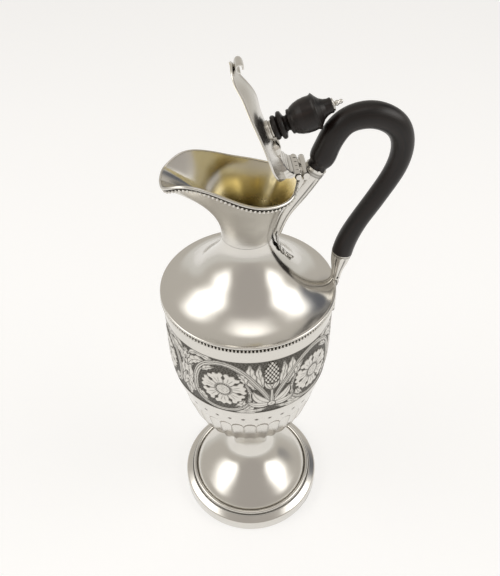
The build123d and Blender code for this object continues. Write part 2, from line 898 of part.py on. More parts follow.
with BuildPart() as lower_leaf:
    add(
        leaf_solid(
            [
                (body_radius - 0.6, bead_top + 1.9),
                (rim_radius + 3.0, bead_top + 1.9),
                (rim_radius + 2.4, bead_top - 2),
                (body_radius + 2.6, bead_top - 6),
                (body_radius + 2.0, bead_top - 16),
                (body_radius + 0.9, bead_top - 25),
                (body_radius - 0.6, bead_top - 26),
            ],
            [
                (0.9 * leaf_half_width, bead_top + 1.9),
                (leaf_half_width, bead_top - 3),
                (0.55 * leaf_half_width, bead_top - 10),
                (0.7 * leaf_half_width, bead_top - 17),
                (0.3, bead_top - 26),
            ],
        )
    )
    add(body_bowl.part, mode=Mode.SUBTRACT)
    add(shoulder_bead.part, mode=Mode.SUBTRACT)
    add(shoulder.part, mode=Mode.SUBTRACT)
    add(lower_socket.part, mode=Mode.SUBTRACT)

# ---------------------------------------------------------------- the lid's pieces turned open
opened = Pos(hinge_x, 0, hinge_z) * Rot(0, opening_angle, 0) * Pos(-hinge_x, 0, -hinge_z)

fixed_pieces = {
    "foot_ring": foot_band_ring,
    "foot_wire": foot_wire_ring,
    "foot_dome": foot_dome,
    "stem_knop": stem_knop,
    "body_bowl": body_bowl,
    "shoulder_bead": shoulder_bead,
    "shoulder": shoulder,
    "neck_spout": neck_spout,
    "mouth_bead": mouth_bead,
    "hinge_back_leaf": hinge_back_leaf,
    "hinge_pin": hinge_pin,
    "upper_socket": upper_socket,
    "upper_leaf": upper_leaf,
    "lower_socket": lower_socket,
    "lower_leaf": lower_leaf,
    "wood_handle": wood_handle,
    "upper_handle_pin": upper_handle_pin,
    "lower_handle_pin": lower_handle_pin,
}
lid_pieces = {
    "lid": lid,
    "lid_tip_scroll": lid_tip_scroll,
    "hinge_lid_leaf": hinge_lid_leaf,
    "finial_collar": finial_collar,
    "finial_wood": finial_wood,
    "finial_rod": finial_rod,
    "finial_cap": finial_cap,
    "finial_nut": finial_nut,
}

for piece in lid_pieces.values():
    piece.part = opened * piece.part

for name, piece in {**fixed_pieces, **lid_pieces}.items():
    piece.part.label = name
    export_step(piece.part, f"parts/{name}.step")
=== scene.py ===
"""Looks of a silver claret jug: chased and polished surfaces, dark wood, and the studio round it.

Every new piece is a surface worked out on a grid. Lengths are written in millimetres and become
metres when a mesh is made. The spout points along -X and the handle stands at +X.
"""

import json
from math import cos, pi, radians, sin

import bmesh
import bpy
import numpy as np
from bpy.props import FloatProperty, FloatVectorProperty, IntProperty, PointerProperty
from bpy.types import Operator, Panel, PropertyGroup
from mathutils import Matrix, Vector

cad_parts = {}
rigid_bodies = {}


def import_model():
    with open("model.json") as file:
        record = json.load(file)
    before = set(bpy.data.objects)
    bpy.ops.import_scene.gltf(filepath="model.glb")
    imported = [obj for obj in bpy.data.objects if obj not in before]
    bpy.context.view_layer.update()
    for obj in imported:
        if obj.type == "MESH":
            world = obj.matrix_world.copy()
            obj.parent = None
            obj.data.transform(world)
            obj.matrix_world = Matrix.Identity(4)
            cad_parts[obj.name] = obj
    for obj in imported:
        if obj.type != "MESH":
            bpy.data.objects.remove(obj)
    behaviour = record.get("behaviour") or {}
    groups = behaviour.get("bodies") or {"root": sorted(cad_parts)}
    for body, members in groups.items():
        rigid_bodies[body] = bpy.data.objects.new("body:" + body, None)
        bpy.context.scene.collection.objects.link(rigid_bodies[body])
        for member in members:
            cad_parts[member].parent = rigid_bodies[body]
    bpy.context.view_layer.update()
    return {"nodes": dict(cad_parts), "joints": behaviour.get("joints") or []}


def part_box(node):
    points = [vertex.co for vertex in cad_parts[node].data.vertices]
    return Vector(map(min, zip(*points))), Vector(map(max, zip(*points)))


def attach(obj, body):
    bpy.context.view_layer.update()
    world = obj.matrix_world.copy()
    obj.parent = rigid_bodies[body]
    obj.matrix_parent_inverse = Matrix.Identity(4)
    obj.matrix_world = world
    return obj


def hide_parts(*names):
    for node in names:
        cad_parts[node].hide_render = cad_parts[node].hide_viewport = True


bl_info = {
    "name": "Claret Jug",
    "version": (1, 0, 0),
    "blender": (4, 5, 0),
    "location": "View3D > Sidebar > Claret Jug",
    "description": "Chased silver claret jug with a hinged lid and a wooden handle",
    "category": "Add Mesh",
}

MM = 0.001
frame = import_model()
HINGE = next(joint for joint in frame["joints"] if joint["name"] == "lid_hinge")
HINGE_X, _, HINGE_Z = (value / MM for value in HINGE["pos_m"])
OPEN_ANGLE = radians(max(HINGE["range_deg"]))
JUG = HINGE["parent"]
LID = HINGE["child"]


def node_box(node):
    """The lowest and highest corner of a CAD node, in millimetres."""
    low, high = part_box(node)
    return np.array(low) / MM, np.array(high) / MM


FOOT_LOW, FOOT_HIGH = node_box("foot_ring")
DOME_LOW, DOME_HIGH = node_box("foot_dome")
KNOP_LOW, KNOP_HIGH = node_box("stem_knop")
BEAD_LOW, BEAD_HIGH = node_box("shoulder_bead")
SHOULDER_LOW, SHOULDER_HIGH = node_box("shoulder")
FOOT_RADIUS = FOOT_HIGH[1]
DOME_RADIUS = DOME_HIGH[1]
DOME_FOOT = FOOT_HIGH[2]
STEM_TOP = KNOP_LOW[2]
BOWL_BOTTOM = KNOP_HIGH[2]
BOWL_LIP = BEAD_LOW[2]
BEAD_TOP = BEAD_HIGH[2]
NECK_FOOT = SHOULDER_HIGH[2]
MOUTH_LEVEL = HINGE_Z - 2.8
SHEET = 1.0  # thickness of the shoulder, the neck and the lid
THIN_SHEET = 0.9  # thickness of the foot's dome and the bowl


# ------------------------------------------------------------------ sizes and colours
class JugSizes(PropertyGroup):
    """Sizes of the chased and beaded detail, in millimetres unless a unit says otherwise."""

    flutes: IntProperty(name="Flutes", description="Flutes round the bowl's foot", default=36, min=12)
    flute_depth: FloatProperty(name="Flute depth", description="Depth of a flute, mm", default=1.0)
    flute_top: FloatProperty(name="Flute top", description="Height of the flutes' tops, mm", default=119.0)
    dot_row: FloatProperty(name="Dot row", description="Height of the punched dots, mm", default=126.3)
    frieze_foot: FloatProperty(name="Frieze foot", description="Lower edge of the frieze, mm", default=136.0)
    frieze_top: FloatProperty(name="Frieze top", description="Upper edge of the frieze, mm", default=180.0)
    frieze_relief: FloatProperty(name="Frieze relief", description="Height of the chasing, mm", default=0.55)
    frieze_turn: FloatProperty(
        name="Frieze turn", description="Where a cone of the frieze stands", default=radians(9.8), subtype="ANGLE"
    )
    shoulder_beads: IntProperty(name="Shoulder beads", description="Beads round the shoulder", default=158)
    mouth_bead_pitch: FloatProperty(name="Mouth beads", description="From bead to bead, mm", default=1.95)


class JugFinish(PropertyGroup):
    """Colours of the metal and the wood."""

    silver: FloatVectorProperty(
        name="Silver", description="Polished silver", default=(0.70, 0.68, 0.64), subtype="COLOR"
    )
    # A dark colour mixed in where the mesh's darkening value is high: tarnish in chased hollows and grooves, and
    # painted shade in creases, behind beads, between knuckles and deep inside the neck.
    tarnish_and_shade: FloatVectorProperty(
        name="Tarnish", description="Silver darkened in the recesses", default=(0.035, 0.03, 0.022), subtype="COLOR"
    )
    gilt: FloatVectorProperty(
        name="Gilding", description="Gold wash inside the neck", default=(0.66, 0.575, 0.335), subtype="COLOR"
    )
    wood: FloatVectorProperty(
        name="Wood", description="Dark polished wood", default=(0.0065, 0.005, 0.0045), subtype="COLOR"
    )
    wood_warm: FloatVectorProperty(
        name="Wood figure", description="Reddish streaks of the wood",
        default=(0.017, 0.0095, 0.0075), subtype="COLOR",
    )


def sizes():
    """The scene's size settings."""
    return bpy.context.scene.claret_jug_sizes


def finish():
    """The scene's colour settings."""
    return bpy.context.scene.claret_jug_finish


# ------------------------------------------------------------------ curves and grids
def spline_through(points, count):
    """A natural cubic spline through the points, against the distance walked between them."""
    points = np.asarray(points, float)
    walked = np.concatenate([[0], np.cumsum(np.linalg.norm(np.diff(points, axis=0), axis=1))])
    return spline_at(walked, points, np.linspace(0, walked[-1], count))


def spline_at(places, values, wanted):
    """A natural cubic spline of values against places, read at the wanted places.

    Its second derivatives solve h0*m0 + 2*(h0 + h1)*m1 + h1*m2 = 6*(slope1 - slope0) at each knot.
    """
    places = np.asarray(places, float)
    values = np.asarray(values, float)
    step = np.diff(places)
    slope = np.diff(values, axis=0) / (step[:, None] if values.ndim > 1 else step)
    count = len(places)
    system = np.eye(count)
    target = np.zeros_like(values)
    inner = np.arange(1, count - 1)
    system[inner, inner - 1] = step[:-1]
    system[inner, inner] = 2 * (step[:-1] + step[1:])
    system[inner, inner + 1] = step[1:]
    target[1:-1] = 6 * np.diff(slope, axis=0)
    bend = np.linalg.solve(system, target)
    k = np.clip(np.searchsorted(places, wanted, side="right") - 1, 0, count - 2)
    b = (wanted - places[k]) / step[k]
    a = 1 - b
    h = step[k]
    if values.ndim > 1:
        a, b, h = a[:, None], b[:, None], h[:, None]
    return a * values[k] + b * values[k + 1] + ((a**3 - a) * bend[k] + (b**3 - b) * bend[k + 1]) * h**2 / 6


def smoothstep(low, high, value):
    """0 below low, 1 above high, and t*t*(3 - 2t) between."""
    t = np.clip((value - low) / (high - low), 0, 1)
    return t * t * (3 - 2 * t)


def arc(middle, radius, start, end, count):
    """Points on a circle in the plane of (across, up), from one angle in degrees to another."""
    angle = np.radians(np.linspace(start, end, count))
    return np.stack([middle[0] + radius * np.cos(angle), middle[1] + radius * np.sin(angle)], axis=1)


def offset_line(line, distance):
    """Moves an open line to its right by the distance, square to its direction at each point."""
    along = np.gradient(np.asarray(line, float), axis=0)
    along /= np.linalg.norm(along, axis=1, keepdims=True)
    return line + np.stack([along[:, 1], -along[:, 0]], axis=1) * distance


def turned(profile, segments):
    """A profile (radius, height) carried round Z: x = r*sin(a), y = -r*cos(a), z = height."""
    profile = np.asarray(profile, float)
    angle = np.arange(segments) * 2 * pi / segments
    r = profile[None, :, 0]
    return np.stack(
        [
            r * np.sin(angle)[:, None],
            -r * np.cos(angle)[:, None],
            np.broadcast_to(profile[None, :, 1], (segments, len(profile))),
        ],
        axis=2,
    )


def grid_faces(rows, columns, wrap_rows, wrap_columns, start=0):
    """Quads of a grid of points, each the corners (i, j), (i+1, j), (i+1, j+1), (i, j+1)."""
    i = np.arange(rows if wrap_rows else rows - 1)
    j = np.arange(columns if wrap_columns else columns - 1)
    i, j = (g.ravel() for g in np.meshgrid(i, j, indexing="ij"))
    i2, j2 = (i + 1) % rows, (j + 1) % columns
    return start + np.stack([i * columns + j, i2 * columns + j, i2 * columns + j2, i * columns + j2], axis=1)


def opened(points):
    """Turns points of the closed lid open: a right-hand turn about +Y through the hinge's pin."""
    points = np.array(points, float)
    x, z = points[..., 0] - HINGE_X, points[..., 2] - HINGE_Z
    points[..., 0] = HINGE_X + x * cos(OPEN_ANGLE) + z * sin(OPEN_ANGLE)
    points[..., 2] = HINGE_Z - x * sin(OPEN_ANGLE) + z * cos(OPEN_ANGLE)
    return points


class Shape:
    """Points and quads gathered from grids, with a darkening value and a gilding value for each point. The darkening
    is tarnish in hollows in some places and painted shade in others.
    """

    def __init__(self):
        self.points = []
        self.faces = []
        self.tarnish_and_shade = []
        self.gilt = []
        self.along = []
        self.count = 0

    def grid(self, points, wrap_rows=False, wrap_columns=False, tarnish_and_shade=0.0, gilt=0.0, caps=False):
        """Adds a grid of points. Caps close both ends of a tube whose columns wrap."""
        points = np.asarray(points, float)
        rows, columns = points.shape[:2]
        self.faces.append(grid_faces(rows, columns, wrap_rows, wrap_columns, self.count))
        flat = points.reshape(-1, 3)
        self.points.append(flat)
        self.tarnish_and_shade.append(np.broadcast_to(tarnish_and_shade, (rows, columns)).ravel())
        self.gilt.append(np.broadcast_to(gilt, (rows, columns)).ravel())
        u, v = np.meshgrid(np.linspace(0, 1, rows), np.linspace(0, 1, columns), indexing="ij")
        self.along.append(np.stack([u.ravel(), v.ravel()], axis=1))
        first = self.count
        self.count += len(flat)
        if caps:
            for row in (0, rows - 1):
                middle = points[row].mean(axis=0)
                ring = first + row * columns + np.arange(columns)
                self.points.append(middle[None])
                self.tarnish_and_shade.append(np.array([float(self.tarnish_and_shade[-1][0])]))
                self.gilt.append(np.zeros(1))
                self.along.append(np.array([[row / (rows - 1), 0.5]]))
                self.faces.append(np.stack([ring, np.roll(ring, -1), np.full(columns, self.count)], axis=1))
                self.count += 1
        return self

    def piece(self, name, material, body, replaces=(), slot="silver", sharp=38.0, lid=False):
        points = np.concatenate(self.points)
        if lid:
            points = opened(points)
        mesh = bpy.data.meshes.new(name)
        faces = [face for part in self.faces for face in part.tolist()]
        mesh.from_pydata((points * MM).tolist(), [], faces)
        for label, values in (("tarnish_and_shade", self.tarnish_and_shade), ("gilt", self.gilt)):
            attribute = mesh.attributes.new(label, "FLOAT", "POINT")
            attribute.data.foreach_set("value", np.concatenate(values).astype(np.float32))
        along = np.concatenate(self.along).astype(np.float32)
        uv = mesh.uv_layers.new(name="UVMap")
        loops = np.empty(len(mesh.loops), np.int32)
        mesh.loops.foreach_get("vertex_index", loops)
        uv.data.foreach_set("uv", along[loops].ravel())
        work = bmesh.new()
        work.from_mesh(mesh)
        bmesh.ops.remove_doubles(work, verts=work.verts, dist=2e-6)
        bmesh.ops.dissolve_degenerate(work, edges=work.edges, dist=1e-7)
        bmesh.ops.recalc_face_normals(work, faces=work.faces)
        work.to_mesh(mesh)
        work.free()
        mesh.polygons.foreach_set("use_smooth", np.ones(len(mesh.polygons), bool))
        mesh.set_sharp_from_angle(angle=radians(sharp))
        mesh.materials.append(material)
        thing = bpy.data.objects.new(name, mesh)
        bpy.context.scene.collection.objects.link(thing)
        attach(thing, body)
        if replaces:
            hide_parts(*replaces)
        return thing


def bead(middle, radii, up, along, rings=5, around=8):
    """A small ball: middle + radius*(sin(a)cos(b)*along + sin(a)sin(b)*across + cos(a)*up)."""
    up = up / np.linalg.norm(up, axis=-1, keepdims=True)
    across = np.cross(up, along)
    across /= np.linalg.norm(across, axis=-1, keepdims=True)
    along = np.cross(across, up)
    a = np.linspace(0.02, pi - 0.02, rings)
    b = np.arange(around) * 2 * pi / around
    ca, sa = np.cos(a)[:, None, None], np.sin(a)[:, None, None]
    cb, sb = np.cos(b)[None, :, None], np.sin(b)[None, :, None]
    out = []
    for m, u, w, t in zip(middle, up, across, along):
        out.append(m + radii[2] * ca * u + radii[0] * sa * cb * t + radii[1] * sa * sb * w)
    return out


def swept(line, half_across, half_y, segments):
    """Ovals carried along a line in the XZ plane, square to it.

    A point is line + half_across*cos(a)*side + half_y*sin(a)*Y, where side is the line's right.
    """
    line = np.asarray(line, float)
    along = np.gradient(line, axis=0)
    along /= np.linalg.norm(along, axis=1, keepdims=True)
    side = np.stack([along[:, 1], np.zeros(len(line)), -along[:, 0]], axis=1)
    angle = np.arange(segments) * 2 * pi / segments
    middle = np.stack([line[:, 0], np.zeros(len(line)), line[:, 1]], axis=1)
    ca = np.cos(angle)[None, :, None]
    sa = np.sin(angle)[None, :, None]
    half_across = np.asarray(half_across, float)[:, None, None]
    half_y = np.asarray(half_y, float)[:, None, None]
    return middle[:, None] + half_across * ca * side[:, None] + half_y * sa * np.array([0, 1, 0])


# ------------------------------------------------------------------ materials
def new_material(name):
    """An empty node material with its output and a Principled shader."""
    material = bpy.data.materials.new(name)
    material.use_nodes = True
    tree = material.node_tree
    tree.nodes.clear()
    output = tree.nodes.new("ShaderNodeOutputMaterial")
    shader = tree.nodes.new("ShaderNodeBsdfPrincipled")
    tree.links.new(shader.outputs[0], output.inputs["Surface"])
    return material, tree, shader


def put(tree, socket, value):
    """Links a socket to a value that is itself a socket, and sets it to any other value."""
    if isinstance(value, bpy.types.NodeSocket):
        tree.links.new(value, socket)
    else:
        socket.default_value = value


def add_node(tree, kind, **settings):
    """A node with its settings: input sockets by their names, and other values as attributes."""
    node = tree.nodes.new(kind)
    for key, value in settings.items():
        if key in node.inputs:
            put(tree, node.inputs[key], value)
        else:
            setattr(node, key, value)
    return node


def computed(tree, operation, *values):
    """The result of a Math node, from values that are sockets or numbers."""
    node = add_node(tree, "ShaderNodeMath", operation=operation)
    for socket, value in zip(node.inputs, values):
        put(tree, socket, value)
    return node.outputs[0]


def mixed(tree, share, first, second):
    """A colour between two others by a share. Each is a socket or a colour."""
    mix = add_node(tree, "ShaderNodeMix", data_type="RGBA")
    put(tree, mix.inputs[0], share)
    for socket, value in ((mix.inputs[6], first), (mix.inputs[7], second)):
        put(tree, socket, value if isinstance(value, bpy.types.NodeSocket) else (*value, 1))
    return mix.outputs[2]


def spread(tree, value, low, high):
    """A value of 0 to 1 drawn out to run from low to high."""
    return add_node(tree, "ShaderNodeMapRange", Value=value, **{"To Min": low, "To Max": high}).outputs[0]


def noise(tree, place, scale, detail, roughness, distortion=0.0):
    """A noise at a place."""
    return add_node(
        tree, "ShaderNodeTexNoise", Vector=place, Scale=scale, Detail=detail, Roughness=roughness,
        Distortion=distortion,
    ).outputs[0]


def ramp(tree, value, stops):
    """A ramp of greys from a value: pairs of place and grey."""
    node = add_node(tree, "ShaderNodeValToRGB")
    elements = node.color_ramp.elements
    while len(elements) < len(stops):
        elements.new(0.5)
    for element, (place, grey) in zip(elements, stops):
        element.position = place
        element.color = (grey, grey, grey, 1)
    tree.links.new(value, node.inputs[0])
    return node.outputs[0]


def silver_material(name, roughness=(0.10, 0.22), waviness=0.05, wear=0.5):
    """Hand-raised silver: soft planishing waves, rubbing marks, and a dark colour where the mesh's darkening value
    says: tarnish in hollows, and painted shade in creases, behind beads and between knuckles.
    """
    material, tree, shader = new_material(name)
    look = finish()
    place = add_node(tree, "ShaderNodeTexCoord").outputs["Object"]
    tarnish_and_shade = add_node(tree, "ShaderNodeAttribute", attribute_name="tarnish_and_shade").outputs["Fac"]
    gilt = add_node(tree, "ShaderNodeAttribute", attribute_name="gilt").outputs["Fac"]
    cloud = noise(tree, place, 38.0, 4.0, 0.6)
    waves = noise(tree, place, 75.0, 1.0, 0.4)
    marks = noise(tree, place, 900.0, 5.0, 0.75)
    dull = ramp(tree, cloud, [(0.3, 0.0), (0.75, 1.0)])
    shade = computed(tree, "MULTIPLY", dull, 0.10 * wear)
    clean = mixed(tree, shade, tuple(look.silver), (0.62, 0.57, 0.48))
    gold = mixed(tree, gilt, clean, tuple(look.gilt))
    # The dark mix: tarnish in hollows, and painted shade where the mesh marks creases, bead gaps, knuckle gaps and
    # the neck's depth.
    oxide_and_shade = ramp(tree, tarnish_and_shade, [(0.0, 0.0), (0.85, 1.0)])
    put(tree, shader.inputs["Base Color"], mixed(tree, oxide_and_shade, gold, tuple(look.tarnish_and_shade)))
    put(tree, shader.inputs["Metallic"], 1.0)
    rough = computed(tree, "MULTIPLY_ADD", tarnish_and_shade, 0.3, spread(tree, dull, *roughness))
    put(tree, shader.inputs["Roughness"], rough)
    soft = add_node(tree, "ShaderNodeBump", Strength=waviness, Distance=0.002, Height=waves).outputs[0]
    fine = add_node(tree, "ShaderNodeBump", Strength=0.03, Distance=0.0002, Height=marks, Normal=soft)
    put(tree, shader.inputs["Normal"], fine.outputs[0])
    return material


def wood_material(name, along):
    """Dark close-grained wood: streaks drawn out along the piece, under a soft wax polish."""
    material, tree, shader = new_material(name)
    look = finish()
    texture = add_node(tree, "ShaderNodeTexCoord").outputs["UV"]
    place = add_node(tree, "ShaderNodeMapping", Vector=texture, Scale=along).outputs[0]
    grain = noise(tree, place, 1.0, 8.0, 0.7, 0.4)
    pores = noise(tree, place, 4.0, 3.0, 0.6)
    streak = ramp(tree, grain, [(0.42, 0.0), (0.68, 1.0)])
    put(tree, shader.inputs["Base Color"], mixed(tree, streak, tuple(look.wood), tuple(look.wood_warm)))
    put(tree, shader.inputs["Roughness"], spread(tree, grain, 0.26, 0.42))
    put(tree, shader.inputs["Specular IOR Level"], 0.38)
    bump = add_node(tree, "ShaderNodeBump", Strength=0.12, Distance=0.0003, Height=pores)
    put(tree, shader.inputs["Normal"], bump.outputs[0])
    return material


def jug_material(name):
    """The named material, made the first time that it is asked for."""
    found = bpy.data.materials.get(name)
    if found:
        return found
    makers = {
        "polished_silver": lambda: silver_material(name),
        "chased_silver": lambda: silver_material(name, roughness=(0.2, 0.34), waviness=0.02, wear=1.0),
        "cast_silver": lambda: silver_material(name, roughness=(0.16, 0.3), waviness=0.02),
        "lid_silver": lambda: silver_material(name, roughness=(0.2, 0.3), waviness=0.06),
        "mouth_silver": lambda: silver_material(name, roughness=(0.13, 0.24), waviness=0.09),
        "handle_wood": lambda: wood_material(name, (3.0, 14.0, 1.0)),
        "turned_wood": lambda: wood_material(name, (14.0, 3.0, 1.0)),
    }
    return makers[name]()


def finish_solids(*nodes):
    """Gives CAD nodes that keep their own shape the cast silver."""
    for node in nodes:
        materials = frame["nodes"][node].data.materials
        materials.clear()
        materials.append(jug_material("cast_silver"))


# ------------------------------------------------------------------ foot and stem
def foot_shapes():
    """The foot's closed profiles, each turned round the axis."""
    band = FOOT_RADIUS
    step = band - 5.4
    ring = np.concatenate(
        [
            [(band - 1.4, 0.0), (band - 0.25, 0.0)],
            arc((band - 0.25, 0.25), 0.25, -90, 0, 4),
            [(band, 7.0)],
            arc((band - 2.0, 7.1), 2.0, 0, 62, 8),
            arc((step + 1.6, DOME_FOOT + 0.5), 1.0, 250, 190, 5),
            arc((step - 0.4, DOME_FOOT - 0.4), 0.4, 30, 90, 4),
            [(DOME_RADIUS, DOME_FOOT), (DOME_RADIUS, DOME_FOOT - 1.0), (step, DOME_FOOT - 1.0)],
            [(band - 2.0, 6.4)],
        ]
    )
    roll = arc((DOME_RADIUS + 1.3, DOME_FOOT + 1.3), 1.3, 0, 354, 24)
    rise = DOME_HIGH[2] - DOME_FOOT
    shares = [
        (1.0, 0.0), (0.985, 0.05), (0.95, 0.092), (0.86, 0.16), (0.72, 0.252), (0.56, 0.35), (0.4, 0.462),
        (0.29, 0.6), (0.232, 0.78), (0.2125, 1.0),
    ]
    outside = spline_through([(r * DOME_RADIUS, DOME_FOOT + h * rise) for r, h in shares], 90)
    return ring, roll, np.concatenate([outside, offset_line(outside, -THIN_SHEET)[::-1]])


class JUG_OT_foot(Operator):
    """Foot: band, rolled wire, bell-shaped dome and the stem with its knop."""

    bl_idname = "claret_jug.foot"
    bl_label = "Foot and stem"

    def execute(self, context):
        silver = jug_material("polished_silver")
        ring, roll, dome = foot_shapes()
        for name, profile, node in (
            ("foot_band", ring, "foot_ring"),
            ("foot_roll", roll, "foot_wire"),
            ("foot_bell", dome, "foot_dome"),
        ):
            oxide_and_shade = 0.0
            # A dark ring on the band just outside the rolled wire, and a dark band at the dome's foot: painted shade
            # in the crease where the dome meets the band.
            if name == "foot_band":
                oxide_and_shade = 0.8 * np.exp(-(((profile[:, 0] - DOME_RADIUS - 2.8) / 0.5) ** 2))[None, :]
            if name == "foot_bell":
                oxide_and_shade = 0.35 * np.exp(-(((profile[:, 1] - DOME_FOOT - 0.5) / 0.7) ** 2))[None, :]
            Shape().grid(turned(profile, 240), True, True, tarnish_and_shade=oxide_and_shade).piece(name, silver, JUG, [node])
        low, high, waist, knop = STEM_TOP, BOWL_BOTTOM, 8.3, KNOP_HIGH[1] - 0.05
        middle = (low + high) / 2
        profile = spline_through(
            [(waist, low + 0.02), (waist - 0.2, low + 1.4), (knop - 1.2, middle - 2), (knop, middle),
             (knop - 1.2, middle + 2), (waist - 0.2, high - 1.4), (9.3, high - 0.02)],
            48,
        )
        profile = np.concatenate([[(0.001, low + 0.02)], profile, [(0.001, high - 0.02)]])
        Shape().grid(turned(profile, 120), True, False).piece("stem_and_knop", silver, JUG, ["stem_knop"])
        return {"FINISHED"}


# ------------------------------------------------------------------ bowl
BOWL_SHARES = [
    (0.2013, 0.0), (0.318, 0.053), (0.487, 0.105), (0.657, 0.178), (0.775, 0.267), (0.852, 0.372),
    (0.922, 0.494), (0.972, 0.583), (0.995, 0.66), (1.0, 0.75), (0.994, 0.86), (0.989, 1.0),
]
BODY_RADIUS = 47.2
BOWL_FLOOR = (66.5, 67.2)  # underside and top of the plate that closes the bowl's foot


def bowl_radius(height):
    """The bowl's outside radius at each height, from a spline through its profile."""
    places = np.array([BOWL_BOTTOM + h * (BOWL_LIP - BOWL_BOTTOM) for _, h in BOWL_SHARES])
    radii = np.array([r * BODY_RADIUS for r, _ in BOWL_SHARES])
    line = spline_through(np.stack([radii, places], axis=1), 400)
    return np.interp(height, line[:, 1], line[:, 0])


def ring_of_bowl(heights, segments, relief):
    """A closed ring of the bowl: its relief outside, and a plain wall inside.

    A point outside is ((R(z) + relief(a, z))*sin(a), -(...)*cos(a), z).
    """
    angle = np.arange(segments) * 2 * pi / segments
    a, z = np.meshgrid(angle, heights, indexing="ij")
    lift, oxide_and_shade = relief(a, z)
    radius = bowl_radius(z) + lift
    outside = np.stack([radius * np.sin(a), -radius * np.cos(a), z], axis=2)
    few = heights[:: max(1, len(heights) // 12)]
    few = np.append(few, heights[-1]) if few[-1] != heights[-1] else few
    a2, z2 = np.meshgrid(angle, few[::-1], indexing="ij")
    inner = np.maximum(bowl_radius(z2) - THIN_SHEET - sizes().flute_depth, 0.5)
    inside = np.stack([inner * np.sin(a2), -inner * np.cos(a2), z2], axis=2)
    return np.concatenate([outside, inside], axis=1), np.concatenate([oxide_and_shade, np.zeros_like(a2)], axis=1)


def flute_relief(a, z):
    """Hollow flutes with round tops, and a row of punched dots above them. The second value darkens the punched dots,
    and paints shade along the outlines of the round tops and the ridges between the flutes.

    The depth is sqrt(1 - t^2 - u^2): t runs across a flute and u up its round top.
    """
    size = sizes()
    pitch = 2 * pi / size.flutes
    t = (np.mod(a, pitch) / pitch - 0.5) * 2.12
    width = bowl_radius(z) * pitch / 2
    above = np.maximum(z - (size.flute_top - width), 0) / width
    hollow = np.clip(1 - t**2 - above**2, 0, 1)
    fade = smoothstep(BOWL_BOTTOM, BOWL_BOTTOM + 8, z)
    lift = -size.flute_depth * np.sqrt(hollow) * fade
    edge = np.exp(-(((np.sqrt(t**2 + above**2) - 0.98) / 0.1) ** 2)) * smoothstep(0.75, 1.0, above)
    arc_mm = np.mod(a + pitch / 2, pitch) / pitch - 0.5
    near = np.hypot(arc_mm * pitch * bowl_radius(z) / 1.35, (z - size.dot_row) / 1.05)
    dot = 1 - smoothstep(0.45, 1.0, near)
    ridge = 0.35 * np.exp(-(((1 - np.abs(t) / 1.06) / 0.06) ** 2))
    ridge = ridge * (1 - smoothstep(-1, 2, z - size.flute_top + width))
    return lift - 0.45 * dot, np.clip(0.95 * edge + dot + ridge * fade, 0, 1) * 0.9


def plain_relief(a, z):
    """No relief and no tarnish."""
    return np.zeros_like(a), np.zeros_like(a)


class JUG_OT_bowl(Operator):
    """Bowl: the fluted foot, the chased frieze, the plain band and the inside."""

    bl_idname = "claret_jug.bowl"
    bl_label = "Bowl"

    def execute(self, context):
        size = sizes()
        low, top = size.frieze_foot - 1.0, size.frieze_top + 0.8
        rings = (
            ("bowl_fluted", np.linspace(BOWL_BOTTOM + 0.05, low, 92), 864, flute_relief, "polished_silver"),
            ("bowl_frieze", np.linspace(low, top, 116), 756, frieze_relief, "chased_silver"),
            ("bowl_band", np.linspace(top, BOWL_LIP, 6), 240, plain_relief, "polished_silver"),
        )
        for name, heights, segments, relief, material in rings:
            points, oxide_and_shade = ring_of_bowl(heights, segments, relief)
            shape = Shape().grid(points, True, True, tarnish_and_shade=oxide_and_shade)
            shape.piece(name, jug_material(material), JUG, ["body_bowl"])
        under, top = BOWL_FLOOR
        floor = np.array([(0.001, under), (8.0, under), (8.0, top), (0.001, top)])
        Shape().grid(turned(floor, 60), True, False).piece("bowl_floor", jug_material("cast_silver"), JUG)
        return {"FINISHED"}


# ------------------------------------------------------------------ frieze
def to_segments(x, y, line):
    """The distance from each point to a line of points, and how far along it the nearest is."""
    best = np.full(x.shape, 1e9)
    where = np.zeros(x.shape)
    for k in range(len(line) - 1):
        (x0, y0), (x1, y1) = line[k], line[k + 1]
        dx, dy = x1 - x0, y1 - y0
        t = np.clip(((x - x0) * dx + (y - y0) * dy) / (dx * dx + dy * dy), 0, 1)
        gap = np.hypot(x - x0 - t * dx, y - y0 - t * dy)
        nearer = gap < best
        best = np.where(nearer, gap, best)
        where = np.where(nearer, (k + t) / (len(line) - 1), where)
    return best, where


